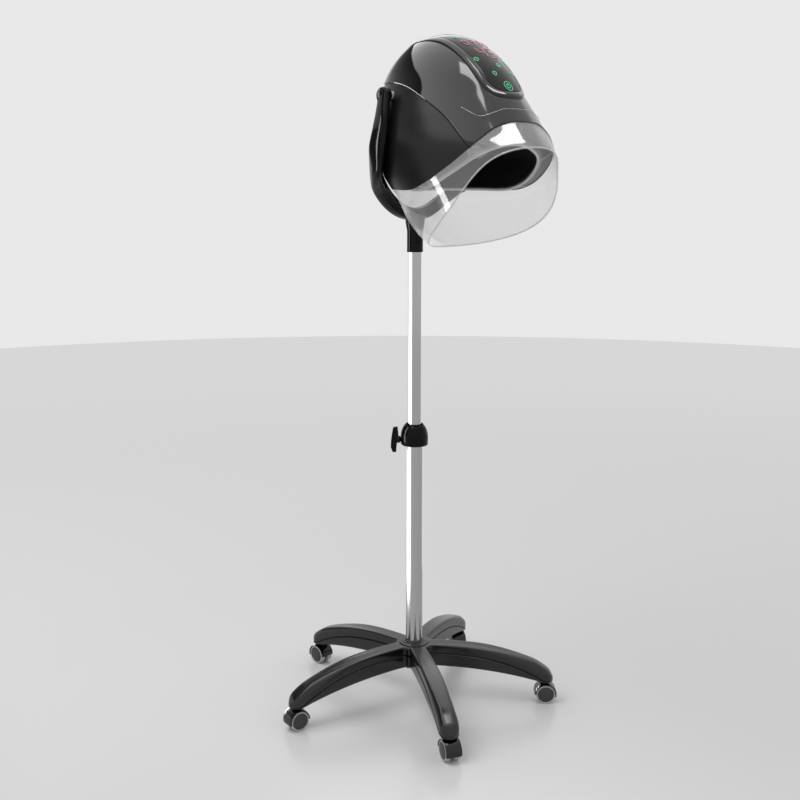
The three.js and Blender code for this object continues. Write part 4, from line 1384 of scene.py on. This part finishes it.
class PROCESSOR_OT_stage(bpy.types.Operator):
    """Builds the camera, floor, surround, lamps, cards and soft boxes."""

    bl_idname = "processor.stage"
    bl_label = "Stage"

    AZIMUTH = math.radians(-45)
    ELEVATION = math.radians(10.69)
    DISTANCE = 2.494
    TARGET_Z = 0.7
    SIDE_SHIFT = -32.6 * MM
    RISE_SHIFT = 6.7 * MM
    LENS = 50.31
    FLOOR_RADIUS = 6.55
    FLOOR_ROUGHNESS = 0.22
    # Radii over which the floor's painted light grows from the near colour to the paler far one
    NEAR_FLOOR = 0.9
    FAR_FLOOR = 4.5
    BACKDROP = 0.81
    FILL = 0.66
    KEY_PLACE = (-1.3, 0.5, 3.0)
    KEY_SIZE = 2.0
    KEY_WATTS = 34
    # Cards: middle, width and height as right, towards the camera and up; glow at both ends of the width
    CARDS = {
        "ceiling_card": ((0.7, -1.385, 3.4), (4.0, 0.83, 0), (1.4, -6.8, 0), 2.7, 0.8),
        "gap_card": ((-2.9, -2.13, 3.4), (3.2, 0.66, 0), (1.4, -6.8, 0), 0.75, 0.03),
        "crown_card": ((0.625, 0.48, 3.35), (0.71, 0.06, 0), (-0.03, 0.56, 0), 9, 9),
        "left_flag": ((-1.9, -0.7, 1.225), (0, 2.9, 0), (0, 0, 1.35), 0.12, 0.12),
    }
    VISOR_PIECES = ["clear_visor", "tongue_border"]
    CASTOR_HOODS = [f"castor_{number}_hood" for number in range(1, CASTOR_COUNT + 1)]
    TUBE_PIECES = ["lower_pipe", "upper_pipe"]
    BLACK_PIECES = ["yoke_fork", "pivot_cap_right", "clamp_dome", "wing_knob"]
    # Soft boxes: middle, width and height as above, glow, and the pieces that they light
    BOXES = {
        "visor_box": ((1.6, 0.67, 3.28), (0.9, -1.68, 0), (0.66, 0.35, 0), 11, VISOR_PIECES),
        "low_box": ((-1.76, 1.155, 1.27), (0.14, 0.29, 0), (0, 0, 0.3), 10, ["clear_visor"]),
        "yoke_box": ((-1.5, -0.1, 1.0), (0, 0.2, 0), (0, 0, 2.0), 14, BLACK_PIECES),
        "edge_box": ((1.6, -2.4, 2.1), (2.6, 1.0, 0), (0, 0, 2.0), 0.5, ["crown", *VISOR_PIECES]),
        "seam_box": ((-2.4, -0.4, 2.7), (0, 2.4, 0), (1.2, 0, 1.2), 22, ["crown_edge"]),
        "castor_box": ((-1.6, -1.5, 0.65), (-1.3, 1.3, 0), (0, 0, 1.3), 11, CASTOR_HOODS),
        "tube_box": ((-0.6, -0.05, 0.6), (0, 1.1, 0), (0, 0, 1.2), 2.3, TUBE_PIECES),
        "rim_box": ((0.5, -0.75, 0.65), (-0.5, -0.3, 0), (0, 0, 1.3), 0.6, TUBE_PIECES),
    }

    def execute(self, context):
        scene = context.scene
        scene.view_settings.view_transform = "Standard"
        self.right = Vector((math.cos(self.AZIMUTH), math.sin(self.AZIMUTH), 0))
        self.back = Vector(
            (
                math.sin(self.AZIMUTH) * math.cos(self.ELEVATION),
                -math.cos(self.AZIMUTH) * math.cos(self.ELEVATION),
                math.sin(self.ELEVATION),
            )
        )
        self.up = self.back.cross(self.right)
        self.camera(scene)
        self.floor(scene)
        self.world(scene)
        self.lamps(scene)
        return {"FINISHED"}

    def camera(self, scene):
        """The photograph's viewing angle and lens."""
        data = bpy.data.cameras.new("camera")
        data.lens = self.LENS
        data.sensor_width = 36
        data.clip_end = 50
        made = bpy.data.objects.new("camera", data)
        scene.collection.objects.link(made)
        target = MAST + Vector((0, 0, self.TARGET_Z))
        target += self.right * self.SIDE_SHIFT + self.up * self.RISE_SHIFT
        made.location = target + self.back * self.DISTANCE
        made.rotation_euler = (-self.back).to_track_quat("-Z", "Y").to_euler()
        scene.camera = made

    def floor(self, scene):
        """A pale, slightly glossy floor, painted a little paler towards its edge as painted light for the
        brighter far floor.
        """
        bm = bmesh.new()
        bmesh.ops.create_circle(bm, cap_ends=True, segments=160, radius=self.FLOOR_RADIUS)
        finish = Finish("pale_floor", Roughness=self.FLOOR_ROUGHNESS)
        place = finish.coordinates()
        reach = finish.node("ShaderNodeVectorMath", {"operation": "LENGTH"}, {0: place}, output="Value")
        limits = {"Value": reach, "From Min": self.NEAR_FLOOR, "From Max": self.FAR_FLOOR}
        spread = finish.node("ShaderNodeMapRange", inputs=limits)
        colours = scene.processor_finish
        # Painted light: the floor's colour goes paler from the near radius to the far one.
        finish.set(Base_Color=finish.blend(spread, rgba(colours.floor), rgba(colours.far_floor_painted_light)))
        placed("floor", bm, finish.material)

    def world(self, scene):
        """A pale surround, seen by the camera, by gloss and through clear pieces, and a softer fill."""
        surround = bpy.data.worlds.new("surround")
        surround.use_nodes = True
        scene.world = surround
        tree = surround.node_tree
        light = tree.nodes["Background"]
        light.inputs["Color"].default_value = (1, 1, 1, 1)
        path = tree.nodes.new("ShaderNodeLightPath")
        seen = path.outputs["Is Camera Ray"]
        for name in ("Is Glossy Ray", "Is Transmission Ray"):
            either = tree.nodes.new("ShaderNodeMath")
            either.operation = "MAXIMUM"
            tree.links.new(seen, either.inputs[0])
            tree.links.new(path.outputs[name], either.inputs[1])
            seen = either.outputs[0]
        level = tree.nodes.new("ShaderNodeMapRange")
        level.inputs["To Min"].default_value = self.FILL
        level.inputs["To Max"].default_value = self.BACKDROP
        tree.links.new(seen, level.inputs["Value"])
        tree.links.new(level.outputs["Result"], light.inputs["Strength"])

    def lamps(self, scene):
        """One large soft key lamp, cards that only gloss sees, and soft boxes for single pieces."""
        self.key(scene)
        for name, card in self.CARDS.items():
            self.card(name, *card)
        for name, box in self.BOXES.items():
            self.soft_box(scene, name, *box)

    def spot(self, place):
        """A place given right of the mast, towards the camera and above the floor."""
        ahead = Vector((self.back.x, self.back.y, 0)).normalized()
        return MAST + self.right * place[0] + ahead * place[1] + Vector((0, 0, place[2]))

    def area_lamp(self, scene, name, wide, tall, watts):
        """A flat rectangular lamp."""
        data = bpy.data.lights.new(name, "AREA")
        data.shape = "RECTANGLE"
        data.size, data.size_y = wide, tall
        data.energy = watts
        made = bpy.data.objects.new(name, data)
        scene.collection.objects.link(made)
        return made

    def key(self, scene):
        """The key lamp, which gives the soft shadows."""
        made = self.area_lamp(scene, "key_box", self.KEY_SIZE, self.KEY_SIZE, self.KEY_WATTS)
        made.location = self.spot(self.KEY_PLACE)
        away = made.location - self.spot((0, 0, self.TARGET_Z))
        made.rotation_euler = away.to_track_quat("Z", "Y").to_euler()
        made.visible_glossy = False

    def soft_box(self, scene, name, middle, wide, tall, level, pieces):
        """A soft box that only the gloss of some pieces sees."""
        across = self.spot(wide) - MAST
        along = self.spot(tall) - MAST
        place = self.spot(middle)
        front = across.cross(along).normalized()
        if front.dot(place - self.spot((0, 0, self.TARGET_Z))) < 0:
            across.negate()
            front.negate()
        wide, tall = across.length, along.length
        made = self.area_lamp(scene, name, wide, tall, level * math.pi * wide * tall)
        turn = Matrix((across.normalized(), along.normalized(), front)).transposed()
        made.matrix_world = Matrix.Translation(place) @ turn.to_4x4()
        made.visible_diffuse = False
        lit_pieces = bpy.data.collections.new(name + "_pieces")
        for lit_piece in pieces:
            lit_pieces.objects.link(bpy.data.objects[lit_piece])
        made.light_linking.receiver_collection = lit_pieces

    def card(self, name, middle, wide, tall, level, far_level):
        """A flat card whose glow goes from one level to another across its width."""
        bm = bmesh.new()
        bmesh.ops.create_grid(bm, x_segments=1, y_segments=1, size=0.5)
        centre = self.spot(middle)
        across = self.spot(wide) - MAST
        along = self.spot(tall) - MAST
        for vert in bm.verts:
            vert.co = centre + across * vert.co.x + along * vert.co.y
        brightest = max(level, far_level)
        finish = Finish(name, Base_Color=(0, 0, 0, 1), Roughness=1.0, Emission_Strength=brightest)
        offset = finish.node(
            "ShaderNodeVectorMath", {"operation": "SUBTRACT"}, {0: finish.coordinates(), 1: centre}
        )
        run = finish.node(
            "ShaderNodeVectorMath",
            {"operation": "DOT_PRODUCT"},
            {0: offset, 1: across / across.length_squared},
            output="Value",
        )
        ends = [rgba((end / brightest,) * 3) for end in (level, far_level)]
        finish.set(Emission_Color=finish.blend(run + 0.5, *ends))
        made = placed(name, bm, finish.material)
        made.visible_camera = False
        made.visible_diffuse = False
        made.visible_shadow = False


class PROCESSOR_PT_panel(bpy.types.Panel):
    """Lists the build steps, sizes and colours."""

    bl_idname = "PROCESSOR_PT_panel"
    bl_label = "Hair Color Processor"
    bl_space_type = "VIEW_3D"
    bl_region_type = "UI"
    bl_category = "Processor"

    def draw(self, context):
        for step in STEPS:
            self.layout.operator(step.bl_idname)
        scene = context.scene
        for group in (scene.processor_hood, scene.processor_stand, scene.processor_finish):
            for key in group.__annotations__:
                self.layout.prop(group, key)


STEPS = (
    PROCESSOR_OT_hood,
    PROCESSOR_OT_visor,
    PROCESSOR_OT_controls,
    PROCESSOR_OT_yoke,
    PROCESSOR_OT_mast,
    PROCESSOR_OT_base,
    PROCESSOR_OT_castors,
    PROCESSOR_OT_solids,
    PROCESSOR_OT_stage,
)
GROUPS = {"processor_hood": HoodSizes, "processor_stand": StandSizes, "processor_finish": FinishColours}


def register():
    """Adds the classes and the scene's property groups."""
    for made in (*GROUPS.values(), *STEPS, PROCESSOR_PT_panel):
        bpy.utils.register_class(made)
    for name, group in GROUPS.items():
        setattr(bpy.types.Scene, name, bpy.props.PointerProperty(type=group))


def unregister():
    """Takes the classes and the property groups away."""
    for name in GROUPS:
        delattr(bpy.types.Scene, name)
    for made in (PROCESSOR_PT_panel, *reversed(STEPS), *GROUPS.values()):
        bpy.utils.unregister_class(made)


def main():
    """Builds every piece in order."""
    register()
    FINISHES.update(make_finishes(bpy.context.scene.processor_finish))
    bpy.ops.processor.hood()
    bpy.ops.processor.visor()
    bpy.ops.processor.controls()
    bpy.ops.processor.yoke()
    bpy.ops.processor.mast()
    bpy.ops.processor.base()
    bpy.ops.processor.castors()
    bpy.ops.processor.solids()
    bpy.ops.processor.stage()


if __name__ == "__main__":
    main()
